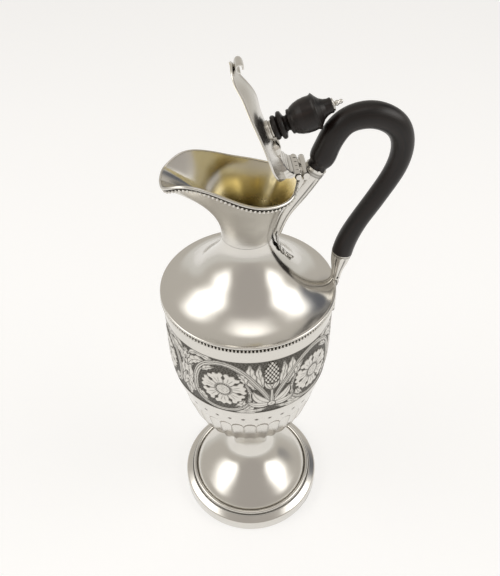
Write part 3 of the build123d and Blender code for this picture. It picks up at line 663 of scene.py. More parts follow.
class Chasing:
    """A panel of chased work: its height from 0, the ground, to 1, and its darkened lines."""

    def __init__(self, x, y):
        self.x, self.y = x, y
        self.height = np.zeros_like(x)
        self.dark = np.ones_like(x)

    def lay(self, edge, crown, dark, soft=0.34):
        """Lays a form where edge > 0, in millimetres from its outline, over what is there."""
        cover = smoothstep(-soft / 2, soft / 2, edge)
        rim = 1 - smoothstep(0.0, 0.42, np.abs(edge + 0.12))
        self.height = self.height * (1 - cover) + np.clip(crown, 0, 1) * cover
        self.dark = self.dark * (1 - cover) + dark * cover
        self.dark = np.maximum(self.dark, rim * 0.95)

    def stem(self, line, width):
        """A stem of changing width along a line, with incised lines that run along it."""
        gap, where = to_segments(self.x, self.y, line)
        half = np.interp(where, np.linspace(0, 1, len(width)), width)
        across = gap / np.maximum(half, 0.01)
        groove = 1 - smoothstep(0.08, 0.24, np.abs(across - 0.42))
        self.lay(half - gap, 1 - 0.4 * across**2, 0.75 * groove)

    def leaf(self, line, width, lobes=0, depth=0.3):
        """A leaf along a midrib: half width w*sin(pi*t^0.75)^0.8, its edge scalloped into lobes."""
        gap, where = to_segments(self.x, self.y, line)
        swell = np.sin(pi * np.clip(where, 0, 1) ** 0.75) ** 0.8
        notch = 1 - depth * np.abs(np.sin(lobes * pi * where)) ** 3 if lobes else 1.0
        half = width * swell * notch + 0.05
        across = gap / np.maximum(half, 0.05)
        rib = 1 - smoothstep(0.1, 0.3, gap)
        vein = 0.0
        if lobes:
            wave = np.abs(np.sin(lobes * pi * (where - 0.25 * across)))
            vein = 0.6 * (1 - smoothstep(0.0, 0.35, wave)) * (across < 0.9)
        self.lay(half - gap, 0.95 - 0.35 * across**2, np.maximum(0.65 * rib, vein))

    def leaves(self, *table):
        """Leaves from rows of (points of the midrib, points along the smoothed line, width, lobes)."""
        for points, count, width, lobes in table:
            self.leaf(spline_through(points, count), width, lobes)

    def rosette(self, x0, y0, radius, petals=7, turn=0.2):
        """Broad petals round a stippled boss: three lobes to a petal, and a dark eye between two."""
        r = np.hypot(self.x - x0, self.y - y0)
        angle = np.arctan2(self.y - y0, self.x - x0) + turn
        cell = np.mod(angle * petals / (2 * pi), 1) - 0.5
        share = r / radius
        valley = r * np.sin((0.5 - np.abs(cell)) * 2 * pi / petals)
        hole = 0.1 + 0.85 * np.exp(-(((share - 0.7) / 0.09) ** 2)) + 0.7 * smoothstep(0.86, 1.0, share)
        scallop = radius * (0.95 + 0.045 * np.cos(cell * 6 * pi)) - r
        outline = np.where(share < 0.55, scallop, np.minimum(scallop, valley - hole))
        between = 1 - smoothstep(0.05, 0.4, valley)
        veins = np.abs(np.abs(cell) - 0.2 * share) * r * 2 * pi / petals
        vein = (1 - smoothstep(0.05, 0.32, veins)) * smoothstep(0.4, 0.5, share) * (1 - smoothstep(0.66, 0.8, share))
        crown = 0.6 + 0.4 * smoothstep(0.3, 0.8, share) - 0.4 * between
        stamens = (1 - smoothstep(0.36, 0.44, share)) * (0.55 + 0.45 * np.cos(angle * petals * 4))
        self.lay(outline, crown, np.maximum(np.maximum(between * 0.85, 0.6 * vein), stamens * 0.9))
        boss = 0.29 * radius - r
        dimples = np.cos(self.x * 4.6) * np.cos(self.y * 4.6 + self.x)
        self.lay(boss, 1 - 0.25 * (r / (0.29 * radius)) ** 2, 0.45 * (dimples > 0.3) * (boss > 0.7))

    def cone(self, x0, y0, half_width, half_height):
        """A berry with a pointed tip, its skin set with small pips in a diamond pattern."""
        x, y = (self.x - x0) / half_width, (self.y - y0) / half_height
        bulge = np.sqrt((x / (1 - 0.28 * y)) ** 2 + np.abs(y) ** 2.4)
        edge = (1 - bulge) * half_width
        u, v = (self.x - x0) + (self.y - y0) * 0.62, (self.x - x0) - (self.y - y0) * 0.62
        pip = np.cos(u * 1.45) * np.cos(v * 1.45)
        self.lay(edge, 0.6 + 0.4 * np.abs(pip), 0.9 * (1 - smoothstep(0.2, 0.5, np.abs(pip))))


FRIEZE_CELL = 60.0  # degrees of a half pattern, which the next one mirrors
FRIEZE_RADIUS = 47.1  # the radius for which the pattern is drawn
FRIEZE_HEIGHT = 43.5  # the height for which the pattern is drawn


def draw_frieze(x, y):
    """Half a repeat of the frieze, 49 by 43: a scroll round a rosette, leaves, and half a berry.

    x runs from the berry's middle to the middle of the leaf spray between two scrolls.
    """
    work = Chasing(x, y)
    work.leaves(
        ([(49.3, 2), (48.6, 12), (47.6, 24), (49.3, 37)], 14, 3.6, 5),
        ([(45.0, 8), (47.0, 15), (48.8, 22)], 14, 2.4, 3),
        ([(44.5, 30), (47, 34), (49.2, 41)], 14, 2.4, 3),
        ([(36, 37.5), (41, 37), (45, 34), (48.5, 28)], 12, 2.7, 4),
        ([(31, 40), (37, 42), (43, 41.5), (48, 37)], 12, 2.2, 4),
        ([(15, 3), (11, 7.5), (9.5, 12.5)], 10, 2.6, 3),
        ([(21, 1.5), (13, 1.6), (6, 3.0), (1.5, 5)], 12, 2.1, 4),
        ([(9, 22), (10.5, 28), (11.5, 35), (11.8, 41.5)], 12, 3.3, 4),
        ([(5.2, 23), (6.0, 29), (7.2, 36), (6.2, 41.5)], 12, 2.0, 3),
    )
    scroll = spline_through(
        [(0.4, 9), (3.5, 17), (9, 26.5), (16, 35.5), (25, 40.3), (34.5, 38), (41, 30), (43.2, 20),
         (41.5, 9), (35, 3.2), (26.5, 1.9), (18, 4.2), (12.8, 10.5), (11.6, 18.5), (14.0, 26)],
        60,
    )
    work.stem(scroll, [1.0, 1.5, 1.55, 1.5, 1.35, 1.2, 0.7])
    work.leaves(
        ([(42, 13), (38.5, 9.5), (36, 5.5)], 8, 1.9, 3),
        ([(15.0, 13), (16.5, 9.5), (20, 6.5)], 8, 1.9, 3),
        ([(14.2, 26.5), (15.6, 31.5), (19, 34.5)], 8, 2.0, 3),
        ([(38.5, 31), (34.5, 34.5), (30.5, 36)], 8, 1.7, 3),
    )
    work.rosette(26.3, 20.6, 13.0)
    work.leaves(
        ([(0.6, 9.5), (5.0, 11.5), (8.5, 15.5), (10.4, 20.4)], 12, 2.5, 0),
        ([(0.5, 8.5), (5.5, 7.6), (10.0, 8.8), (13.5, 11.8)], 12, 2.1, 0),
    )
    work.stem(spline_through([(0, 9), (0.2, 16), (0, 26)], 8), [1.3, 0.8, 0.9])
    work.leaves(([(0.3, 21), (2.6, 24.5), (3.6, 29)], 8, 1.3, 0))
    work.cone(0, 34.2, 4.0, 8.6)
    knot = np.hypot(x, y - 8.2)
    work.lay(2.1 - knot, 1 - 0.3 * (knot / 2.1) ** 2, 0.3 * (knot < 0.7))
    return work


def frieze_relief(a, z):
    """The chased frieze: its pattern is mirrored from cell to cell, between two plain edges."""
    size = sizes()
    cell = radians(FRIEZE_CELL)
    turn = np.mod(a - size.frieze_turn, 2 * cell)
    folded = np.minimum(turn, 2 * cell - turn)
    tall = (z - size.frieze_foot) * FRIEZE_HEIGHT / (size.frieze_top - size.frieze_foot)
    work = draw_frieze(folded * FRIEZE_RADIUS, tall)
    within = np.minimum(z - size.frieze_foot, size.frieze_top - z)
    edge = smoothstep(0.0, 0.5, within)
    line = 1 - smoothstep(0.1, 0.45, np.abs(within - 0.2))
    stipple = 0.5 + 0.5 * np.cos(a * 165 + 1.3 * np.sin(z * 2.1)) * np.cos(z * 3.4 + 1.1 * np.sin(a * 61))
    ground = 1 - smoothstep(0.05, 0.4, work.height)
    lift = (work.height - 1 + 0.16 * ground * stipple) * size.frieze_relief * edge
    dark = np.clip(work.dark - ground * (0.16 + 0.2 * stipple), 0, 1)
    dark = np.maximum(dark * edge, 0.8 * line)
    return lift, dark


# ------------------------------------------------------------------ shoulder and its beads
SHOULDER_REACH = 33.0  # from the neck's outside to the foot of the hollow curve
BEAD_CIRCLE = 46.95  # radius of the circle on which the shoulder's beads stand


def shoulder_profile():
    """The shoulder's closed profile: rolled rim, hollow curve up to the neck, and the inside."""
    rim = 47.75
    shares = [
        (0.94, 0.06), (0.85, 0.088), (0.69, 0.163), (0.5, 0.283), (0.302, 0.468), (0.125, 0.665),
        (0.02, 0.86), (0.0, 1.0), (0.012, 1.14),
    ]
    rise = NECK_FOOT - BEAD_TOP
    points = [(NECK_RADIUS + r * SHOULDER_REACH, BEAD_TOP + h * rise) for r, h in shares]
    curve = spline_through([(rim - 1.3, BEAD_TOP + 1.62), *points], 140)
    curve = curve[curve[:, 1] < NECK_FOOT + 0.01]
    roll = arc((rim - 0.85, BEAD_TOP + 0.86), 0.85, -90, 95, 12)
    inside = offset_line(curve, -SHEET)[::-1]
    foot = [(inside[-1][0] - 1.0, BEAD_TOP + 0.05)]
    return np.concatenate([foot, roll, curve, inside])


class JUG_OT_shoulder(Operator):
    """Shoulder: the hollow-curved shell, its rolled rim and the beaded wire below it."""

    bl_idname = "claret_jug.shoulder"
    bl_label = "Shoulder"

    def execute(self, context):
        profile = shoulder_profile()
        shell = Shape().grid(turned(profile, 288), True, True)
        shell.piece("shoulder_shell", jug_material("polished_silver"), JUG, ["shoulder"])
        count = sizes().shoulder_beads
        angle = (np.arange(count) + 0.5) * 2 * pi / count
        out = np.stack([np.sin(angle), -np.cos(angle), np.zeros(count)], axis=1)
        round_way = np.stack([np.cos(angle), np.sin(angle), np.zeros(count)], axis=1)
        middle = out * BEAD_CIRCLE + np.array([0, 0, (BOWL_LIP + BEAD_TOP) / 2])
        beads = Shape()
        for ball in bead(middle, (0.6, 1.1, 1.15), np.tile([0, 0, 1.0], (count, 1)), round_way, 7, 10):
            beads.grid(ball, False, True)
        beads.piece("shoulder_beads", jug_material("cast_silver"), JUG, ["shoulder_bead"])
        low, top = BOWL_LIP - 0.1, BEAD_TOP + 0.1
        channel = np.array(
            [(45.2, low), (47.0, low), (47.0, low + 0.35), (46.5, low + 0.45), (46.5, top), (45.2, top)]
        )
        # Dark on the channel's back wall: painted shade between the beads.
        oxide_and_shade = np.array([0.0, 0.0, 0.0, 1.0, 1.0, 0.0])[None, :]
        bed = Shape().grid(turned(channel, 240), True, True, tarnish_and_shade=oxide_and_shade)
        bed.piece("shoulder_bead_bed", jug_material("cast_silver"), JUG, ["shoulder_bead"])
        return {"FINISHED"}


# ------------------------------------------------------------------ neck, mouth and spout
MOUTH_RISE = 34.0
NECK_RADIUS = 13.2
MOUTH_OUTLINE = [
    (0, 25.4, 0.0), (32, 23.1, 15.64), (62, 13.0, 22.75), (92, 1.9, 23.7), (116, -10.0, 19.91),
    (140, -21.53, 14.5), (157, -31.46, 10.9), (168, -38.71, 7.52), (180, -41.4, 0.0),
]
MOUTH_EDGE = [
    (-44.0, -3.4), (-40.2, -0.6), (-36.3, 1.8), (-30.0, 4.6), (-24.8, 4.8), (-18.9, 3.4), (-12.4, 1.0),
    (-5.5, -1.8), (1.6, -4.0), (8.7, -5.4), (15.3, -5.9), (20.7, -5.2), (22.6, -4.1), (24.2, -2.2),
    (26.4, -1.0), (32.0, -0.6),
]


def mouth_edge_height(x):
    """The height of the mouth's edge over each x."""
    line = spline_through(MOUTH_EDGE, 400)
    return MOUTH_LEVEL + np.interp(x, line[:, 0], line[:, 1])


def flare_point(place, step):
    """A point of the neck and mouth at a place round it, 0 behind to 1 at the nose, and a height step.

    Each way round, x and y move from the neck's circle to the mouth's outline by step^power, and
    the power grows from 1.55 behind to 2.4 at the nose.
    """
    knots = np.linspace(0, 1, len(MOUTH_OUTLINE))
    outline = np.array(MOUTH_OUTLINE, float)
    angle = spline_at(knots, outline[:, 0], place.ravel()).reshape(place.shape)
    wide = np.stack([spline_at(knots, outline[:, k], place.ravel()).reshape(place.shape) for k in (1, 2)], axis=-1)
    neck = NECK_RADIUS * np.stack([np.cos(np.radians(angle)), np.sin(np.radians(angle))], axis=-1)
    share = (step ** (1.55 + 0.85 * (angle / 180) ** 2))[..., None]
    flat = neck + (wide - neck) * share
    return np.concatenate([flat, (NECK_FOOT + step * MOUTH_RISE)[..., None]], axis=-1)


def mouth_grid(places, rows):
    """The outside of the neck from its foot to the mouth's edge, which each column is cut to.

    The edge's step is found by repeating step = (edge height over x(step) - foot) / rise.
    """
    step = np.full(places.shape, 0.9)
    for _ in range(40):
        at = flare_point(places, step)
        step = 0.5 * step + 0.5 * (mouth_edge_height(at[:, 0]) - NECK_FOOT) / MOUTH_RISE
    rise = 1 - (1 - np.linspace(0, 1, rows)) ** 1.25
    place, share = np.meshgrid(places, rise, indexing="ij")
    return flare_point(place, share * step[:, None])


def both_sides(half):
    """A half grid, from the back to the nose, and its mirror image, as one ring of columns."""
    other = half[1:-1][::-1] * np.array([1, -1, 1])
    return np.concatenate([half, other], axis=0)


def grid_normals(points):
    """Outward unit normals of a grid that wraps round its rows."""
    around = np.roll(points, -1, axis=0) - np.roll(points, 1, axis=0)
    upward = np.gradient(points, axis=1)
    normal = np.cross(around, upward)
    return normal / np.linalg.norm(normal, axis=-1, keepdims=True)


def mouth_surfaces():
    """The outside of the neck and mouth, and its outward normals."""
    places = np.linspace(0, 1, 181)
    outside = both_sides(mouth_grid(places, 70))
    normal = grid_normals(outside)
    return outside, normal


class JUG_OT_mouth(Operator):
    """Neck and mouth: gilt inside, silver spout, thick rolled edge and beaded wire."""

    bl_idname = "claret_jug.mouth"
    bl_label = "Neck and mouth"

    def execute(self, context):
        outside, normal = mouth_surfaces()
        inside = outside - normal * SHEET
        edge_normal, edge_up = normal[:, -1], outside[:, -1] - outside[:, -2]
        edge_up = edge_up / np.linalg.norm(edge_up, axis=-1, keepdims=True)
        middle = outside[:, -1] - 0.45 * edge_normal
        angles = np.radians(np.linspace(-80, 260, 15))
        roll = (
            middle[:, None]
            + 0.72 * np.cos(angles)[None, :, None] * edge_normal[:, None]
            + 0.62 * np.sin(angles)[None, :, None] * edge_up[:, None]
        )
        inner = inside[:, :-1]
        points = np.concatenate([outside[:, :-1], roll, inner[:, ::-1]], axis=1)
        below = inside[:, -1:, 2] - inner[..., 2]
        place = inner[..., 0] + 0.28 * (inner[..., 2] - 250) - 0.16 * inner[..., 1]
        gilded = smoothstep(-15.5, -11.5, place) * (0.45 + 0.55 * smoothstep(0.5, 9.0, below))
        seam = np.exp(-(((place + 14.0) / 0.9) ** 2)) * smoothstep(4, 1, below) * (inner[..., 1] < 0)
        blank = np.zeros((len(outside), outside.shape[1] - 1 + roll.shape[1]))
        gilt = np.concatenate([blank, gilded[:, ::-1]], axis=1)
        # Darker along the seam line, and painted shade that deepens further down inside the gilt neck.
        seam_and_depth_shade = 0.5 * seam + 0.3 * gilded * smoothstep(8, 22, below)
        oxide_and_shade = np.concatenate([blank, seam_and_depth_shade[:, ::-1]], axis=1)
        shape = Shape().grid(points, True, True, tarnish_and_shade=oxide_and_shade, gilt=gilt)
        shape.piece("neck_and_mouth", jug_material("mouth_silver"), JUG, ["neck_spout"])
        self.beads(outside, normal)
        return {"FINISHED"}

    def beads(self, outside, normal):
        """Beads a little below the rolled edge, one bead pitch apart round the mouth."""
        upward = outside[:, -1] - outside[:, -6]
        line = outside[:, -1] - 1.55 * upward / np.linalg.norm(upward, axis=-1, keepdims=True)
        away = normal[:, -4]
        ring = np.concatenate([line, line[:1]])
        walked = np.concatenate([[0], np.cumsum(np.linalg.norm(np.diff(ring, axis=0), axis=1))])
        count = int(walked[-1] / sizes().mouth_bead_pitch)
        wanted = (np.arange(count) + 0.5) * walked[-1] / count
        far = np.concatenate([away, away[:1]])
        middle = np.stack([np.interp(wanted, walked, ring[:, k]) for k in range(3)], axis=1)
        out = np.stack([np.interp(wanted, walked, far[:, k]) for k in range(3)], axis=1)
        out /= np.linalg.norm(out, axis=1, keepdims=True)
        along = np.roll(middle, -1, axis=0) - np.roll(middle, 1, axis=0)
        shown = middle[:, 0] < 23.0
        middle, out, along = middle[shown] + 0.55 * out[shown], out[shown], along[shown]
        beads = Shape()
        for ball in bead(middle, (0.66, 0.85, 0.8), out, along, 7, 10):
            beads.grid(ball, False, True)
        beads.piece("mouth_beads", jug_material("cast_silver"), JUG, ["mouth_bead"])
        down = line - outside[:, -1]
        down /= np.linalg.norm(down, axis=-1, keepdims=True)
        corners = ((-1.15, -0.3), (-1.15, 0.12), (1.15, 0.12), (1.15, -0.3))
        strip = np.stack([line + low * down + out * away for low, out in corners], axis=1)
        # Dark on the strip's face behind the beads: painted shade between the beads.
        oxide_and_shade = np.array([0.0, 0.95, 0.95, 0.0])[None, :]
        bed = Shape().grid(strip, True, True, tarnish_and_shade=oxide_and_shade)
        bed.piece("mouth_bead_bed", jug_material("cast_silver"), JUG, ["mouth_bead"])


# ------------------------------------------------------------------ handle and sockets
HANDLE_LINE = [
    (32.6, 261.7, 4.55), (33.9, 264.1, 4.75), (34.6, 265.5, 5.5), (37.0, 272.0, 6.0),
    (40.2, 279.2, 5.95), (44.6, 284.3, 5.85), (50.0, 286.6, 6.0),
    (56.2, 287.0, 6.1), (62.9, 285.0, 6.0), (68.7, 280.6, 5.8), (72.1, 273.6, 5.4), (72.6, 266.6, 5.2),
    (71.3, 259.6, 5.05), (68.7, 252.8, 4.9), (65.2, 245.6, 4.87), (61.4, 238.3, 4.9), (57.4, 230.8, 4.9),
    (54.0, 223.4, 5.1), (51.3, 215.4, 5.35), (50.15, 209.65, 5.4),
]
UPPER_SOCKET = [
    (33.0, 262.4, 5.2, 5.2), (29.5, 256.0, 5.0, 4.6), (24.0, 247.0, 4.6, 4.0), (18.8, 237.5, 3.4, 3.2),
    (15.0, 226.0, 2.6, 2.6),
]
LOWER_SOCKET = [
    (50.15, 209.65, 5.4, 5.4), (49.3, 203.5, 4.6, 4.5), (48.6, 197.0, 3.1, 3.1), (48.1, 191.2, 2.6, 2.5),
]


def tube(name, table, rows, segments, material, replaces, slot, ribs=0.0):
    """A tube along a table of (x, z, half across, half along Y), smoothed between its rows."""
    line = spline_through(table, rows)
    points = swept(line[:, :2], line[:, 2], line[:, 3], segments)
    angle = np.arange(segments) * 2 * pi / segments
    oxide_and_shade = np.zeros(points.shape[:2])
    if ribs:
        share = np.linspace(0, 1, rows)[:, None]
        groove = np.exp(-((np.mod(angle[None, :] * 7 / (2 * pi) + 0.5, 1) - 0.5) ** 2) / 0.006)
        groove = groove * smoothstep(0.05, 0.2, share) * (1 - smoothstep(0.9, 1.0, share))
        middle = points.mean(axis=1, keepdims=True)
        points = middle + (points - middle) * (1 - ribs * groove[..., None])
        oxide_and_shade = 0.9 * groove
        collar = np.exp(-(((share - 0.045) / 0.012) ** 2)) + np.exp(-(((share - 0.075) / 0.01) ** 2))
        oxide_and_shade = np.clip(oxide_and_shade + 0.6 * collar, 0, 1)
    shape = Shape().grid(points, False, True, tarnish_and_shade=oxide_and_shade, caps=True)
    return shape.piece(name, jug_material(material), JUG, replaces, slot)


def leaf_strip(name, line, widths, thickness, lobes, node, outward):
    """A chased leaf laid on the metal: a strip along a line, lobed at its edges and ribbed.

    A point is line + w*s*Y + outward*t*(1 - 0.75*s^2), with s from -1 to 1 across the leaf.
    """
    rows, columns = 90, 25
    line = spline_through(line, rows)
    share = np.linspace(0, 1, rows)
    wide = np.interp(share, np.linspace(0, 1, len(widths)), widths)
    wide = wide * (1 - 0.28 * np.abs(np.sin(lobes * pi * share)) ** 4)
    s = np.linspace(-1, 1, columns)
    side = np.abs(s)[None, :]
    vein = np.exp(-((np.mod(lobes * share[:, None] - 0.55 * side, 1) - 0.5) ** 2) / 0.012) * (side > 0.12)
    rib = np.exp(-((side - 0.12) ** 2) / 0.004)
    crown = thickness * (1 - 0.75 * side**2) - 0.3 * vein
    across = wide[:, None] * s[None, :]
    front, back = (
        np.stack(
            np.broadcast_arrays(line[:, :1] + outward[0] * lift, across, line[:, 1:] + outward[1] * lift), axis=2
        )
        for lift in (crown, -0.35)
    )
    oxide_and_shade = np.clip(0.95 * vein + 0.8 * np.broadcast_to(rib, vein.shape), 0, 1)
    points = np.concatenate([front, back[:, ::-1]], axis=1)
    marks = np.concatenate([oxide_and_shade, np.full_like(oxide_and_shade, 0.8)], axis=1)
    shape = Shape().grid(points, False, True, tarnish_and_shade=marks, caps=True)
    return shape.piece(name, jug_material("cast_silver"), JUG, [node])


class JUG_OT_handle(Operator):
    """Handle: the goose-neck wood, two sockets, their pins and the leaves below them."""

    bl_idname = "claret_jug.handle"
    bl_label = "Handle"

    def execute(self, context):
        wood = [(x, z, r, r) for x, z, r in HANDLE_LINE]
        tube("handle_grip", wood, 220, 48, "handle_wood", ["wood_handle"], "dark_wood")
        tube("handle_upper_socket", UPPER_SOCKET, 90, 64, "cast_silver", ["upper_socket"], "silver", 0.06)
        tube("handle_lower_socket", LOWER_SOCKET, 70, 64, "cast_silver", ["lower_socket"], "silver", 0.04)
        leaf_strip(
            "upper_acanthus", [(14.6, 227.5), (14.9, 221.8), (16.9, 215.4), (20.2, 210.6), (23.9, 207.4)],
            [3.6, 3.4, 3.0, 2.2, 0.4], 1.1, 6, "upper_leaf", (0.8, 0.6),
        )
        leaf_strip(
            "lower_acanthus", [(48.6, 193.4), (48.3, 189), (47.4, 184), (47.7, 175), (47.9, 165.2)],
            [2.9, 3.5, 2.0, 2.6, 0.3], 1.9, 6, "lower_leaf", (1.0, 0.0),
        )
        finish_solids("upper_handle_pin", "lower_handle_pin")
        return {"FINISHED"}


# ------------------------------------------------------------------ lid
LID_EDGE = [
    (21.4, 0.0), (20.9, 7.8), (18.6, 12.6), (13.9, 17.7), (8.4, 20.4), (1.6, 21.0), (-5.0, 19.0),
    (-11.5, 16.6), (-18.0, 13.9), (-24.5, 10.9), (-30.0, 8.8), (-33.2, 5.8), (-34.6, 0.0),
]
LID_SECTIONS = [
    (-36.0, 8.0, 0.9, 2.5), (-30.0, 9.8, 0.5, 2.3), (-24.5, 11.9, 0.2, 3.4), (-18.0, 14.3, -0.2, 4.0),
    (-11.5, 17.0, -0.7, 2.8), (-5.0, 19.4, -1.2, 1.6), (1.6, 21.4, -2.1, 0.7), (8.5, 21.0, -3.4, -0.2),
    (14.5, 18.6, -4.0, -0.9), (19.4, 13.4, -3.8, -1.2), (23.0, 12.0, -3.6, -1.2),
]


def lid_top(x, y):
    """The height of the closed lid's upper face: crest - (crest - edge)*(y / half width)^2."""
    table = np.array(LID_SECTIONS)
    half, edge, crest = (spline_at(table[:, 0], table[:, k], x.ravel()).reshape(x.shape) for k in (1, 2, 3))
    return MOUTH_LEVEL + crest - (crest - edge) * (y / half) ** 2


def lid_grid(rings, around):
    """Rings from the lid's middle line out to its edge, mirrored, over its outline."""
    half = spline_through(LID_EDGE, around)
    half = np.concatenate([half, (half[1:-1] * np.array([1, -1]))[::-1]])
    spine = np.stack([np.clip(half[:, 0], -31.5, 17.5), np.zeros(len(half))], axis=1)
    share = np.linspace(0, 1, rings)[None, :, None]
    return spine[:, None] + (half - spine)[:, None] * share


class JUG_OT_lid(Operator):
    """Lid: the ridged plate with its rounded edge, and the curl at its tip."""

    bl_idname = "claret_jug.lid"
    bl_label = "Lid"

    def execute(self, context):
        flat = lid_grid(34, 120)
        top = np.concatenate([flat, lid_top(flat[..., 0], flat[..., 1])[..., None]], axis=2)
        under = top - np.array([0, 0, SHEET])
        ridge = 0.5 * np.exp(-np.abs(flat[..., 1]) / 0.9) * smoothstep(-8, -20, flat[..., 0])
        top[..., 2] += ridge
        edge = top[:, -1]
        run = np.roll(edge[:, :2], -1, axis=0) - np.roll(edge[:, :2], 1, axis=0)
        outward = np.stack([run[:, 1], -run[:, 0]], axis=1)
        outward *= np.sign(np.sum(outward * (edge[:, :2] - flat[:, 0]), axis=1, keepdims=True))
        outward = outward / np.linalg.norm(outward, axis=1, keepdims=True)
        lip = np.stack(
            [
                np.column_stack([edge[:, :2] + outward * r, edge[:, 2] - d])
                for r, d in ((-0.1, 0.15), (0.0, 0.5), (-0.1, 0.85))
            ],
            axis=1,
        )
        points = np.concatenate([top, lip, under[:, ::-1]], axis=1)
        gilt = np.concatenate([np.zeros((len(points), top.shape[1] + 3)), np.ones(under.shape[:2])], axis=1)
        shape = Shape().grid(points, True, False, gilt=gilt)
        shape.piece("lid_plate", jug_material("lid_silver"), LID, ["lid"], lid=True)
        self.curl()
        return {"FINISHED"}

    def curl(self):
        """The tip rolled over: a spiral strip with a radius that falls as it turns."""
        turn = np.linspace(radians(-160), radians(150), 40)
        radius = 2.3 - 0.5 * (turn - turn[0]) / (turn[-1] - turn[0])
        middle = np.array([-32.4, MOUTH_LEVEL + 4.6])
        side = np.linspace(-1, 1, 21)
        half = 4.6 - 0.9 * smoothstep(0.5, 1.0, np.linspace(0, 1, 40))
        a, s = np.meshgrid(turn, side, indexing="ij")
        layers = []
        for thick in (0.0, -0.6):
            r = (radius + thick)[:, None] * (1 - 0.12 * s**4)
            layers.append(np.stack([middle[0] - r * np.cos(a), s * half[:, None], middle[1] + r * np.sin(a)], axis=2))
        points = np.concatenate([layers[0], layers[1][:, ::-1]], axis=1)
        Shape().grid(points, False, True, caps=True).piece(
            "lid_curl", jug_material("cast_silver"), LID, ["lid_tip_scroll"], lid=True
        )


# ------------------------------------------------------------------ hinge
KNUCKLE = 3.5  # from one knuckle to the next
HINGE_HALF = 8.6  # half the hinge's length along Y
REED = 1.9  # from one reed of the leaf to the next


def bar_along_y(profile, half_width, columns=9, bevel=0.25):
    """A closed profile in XZ carried along Y, drawn in a little at both ends."""
    profile = np.asarray(profile, float)
    middle = profile.mean(axis=0)
    y = np.concatenate([[-half_width], np.linspace(-half_width + bevel, half_width - bevel, columns), [half_width]])
    shrink = np.ones(len(y))
    shrink[[0, -1]] = 0.9
    at = middle + (profile - middle) * shrink[:, None, None]
    return np.stack([at[..., 0], np.broadcast_to(y[:, None], at.shape[:2]), at[..., 1]], axis=2)


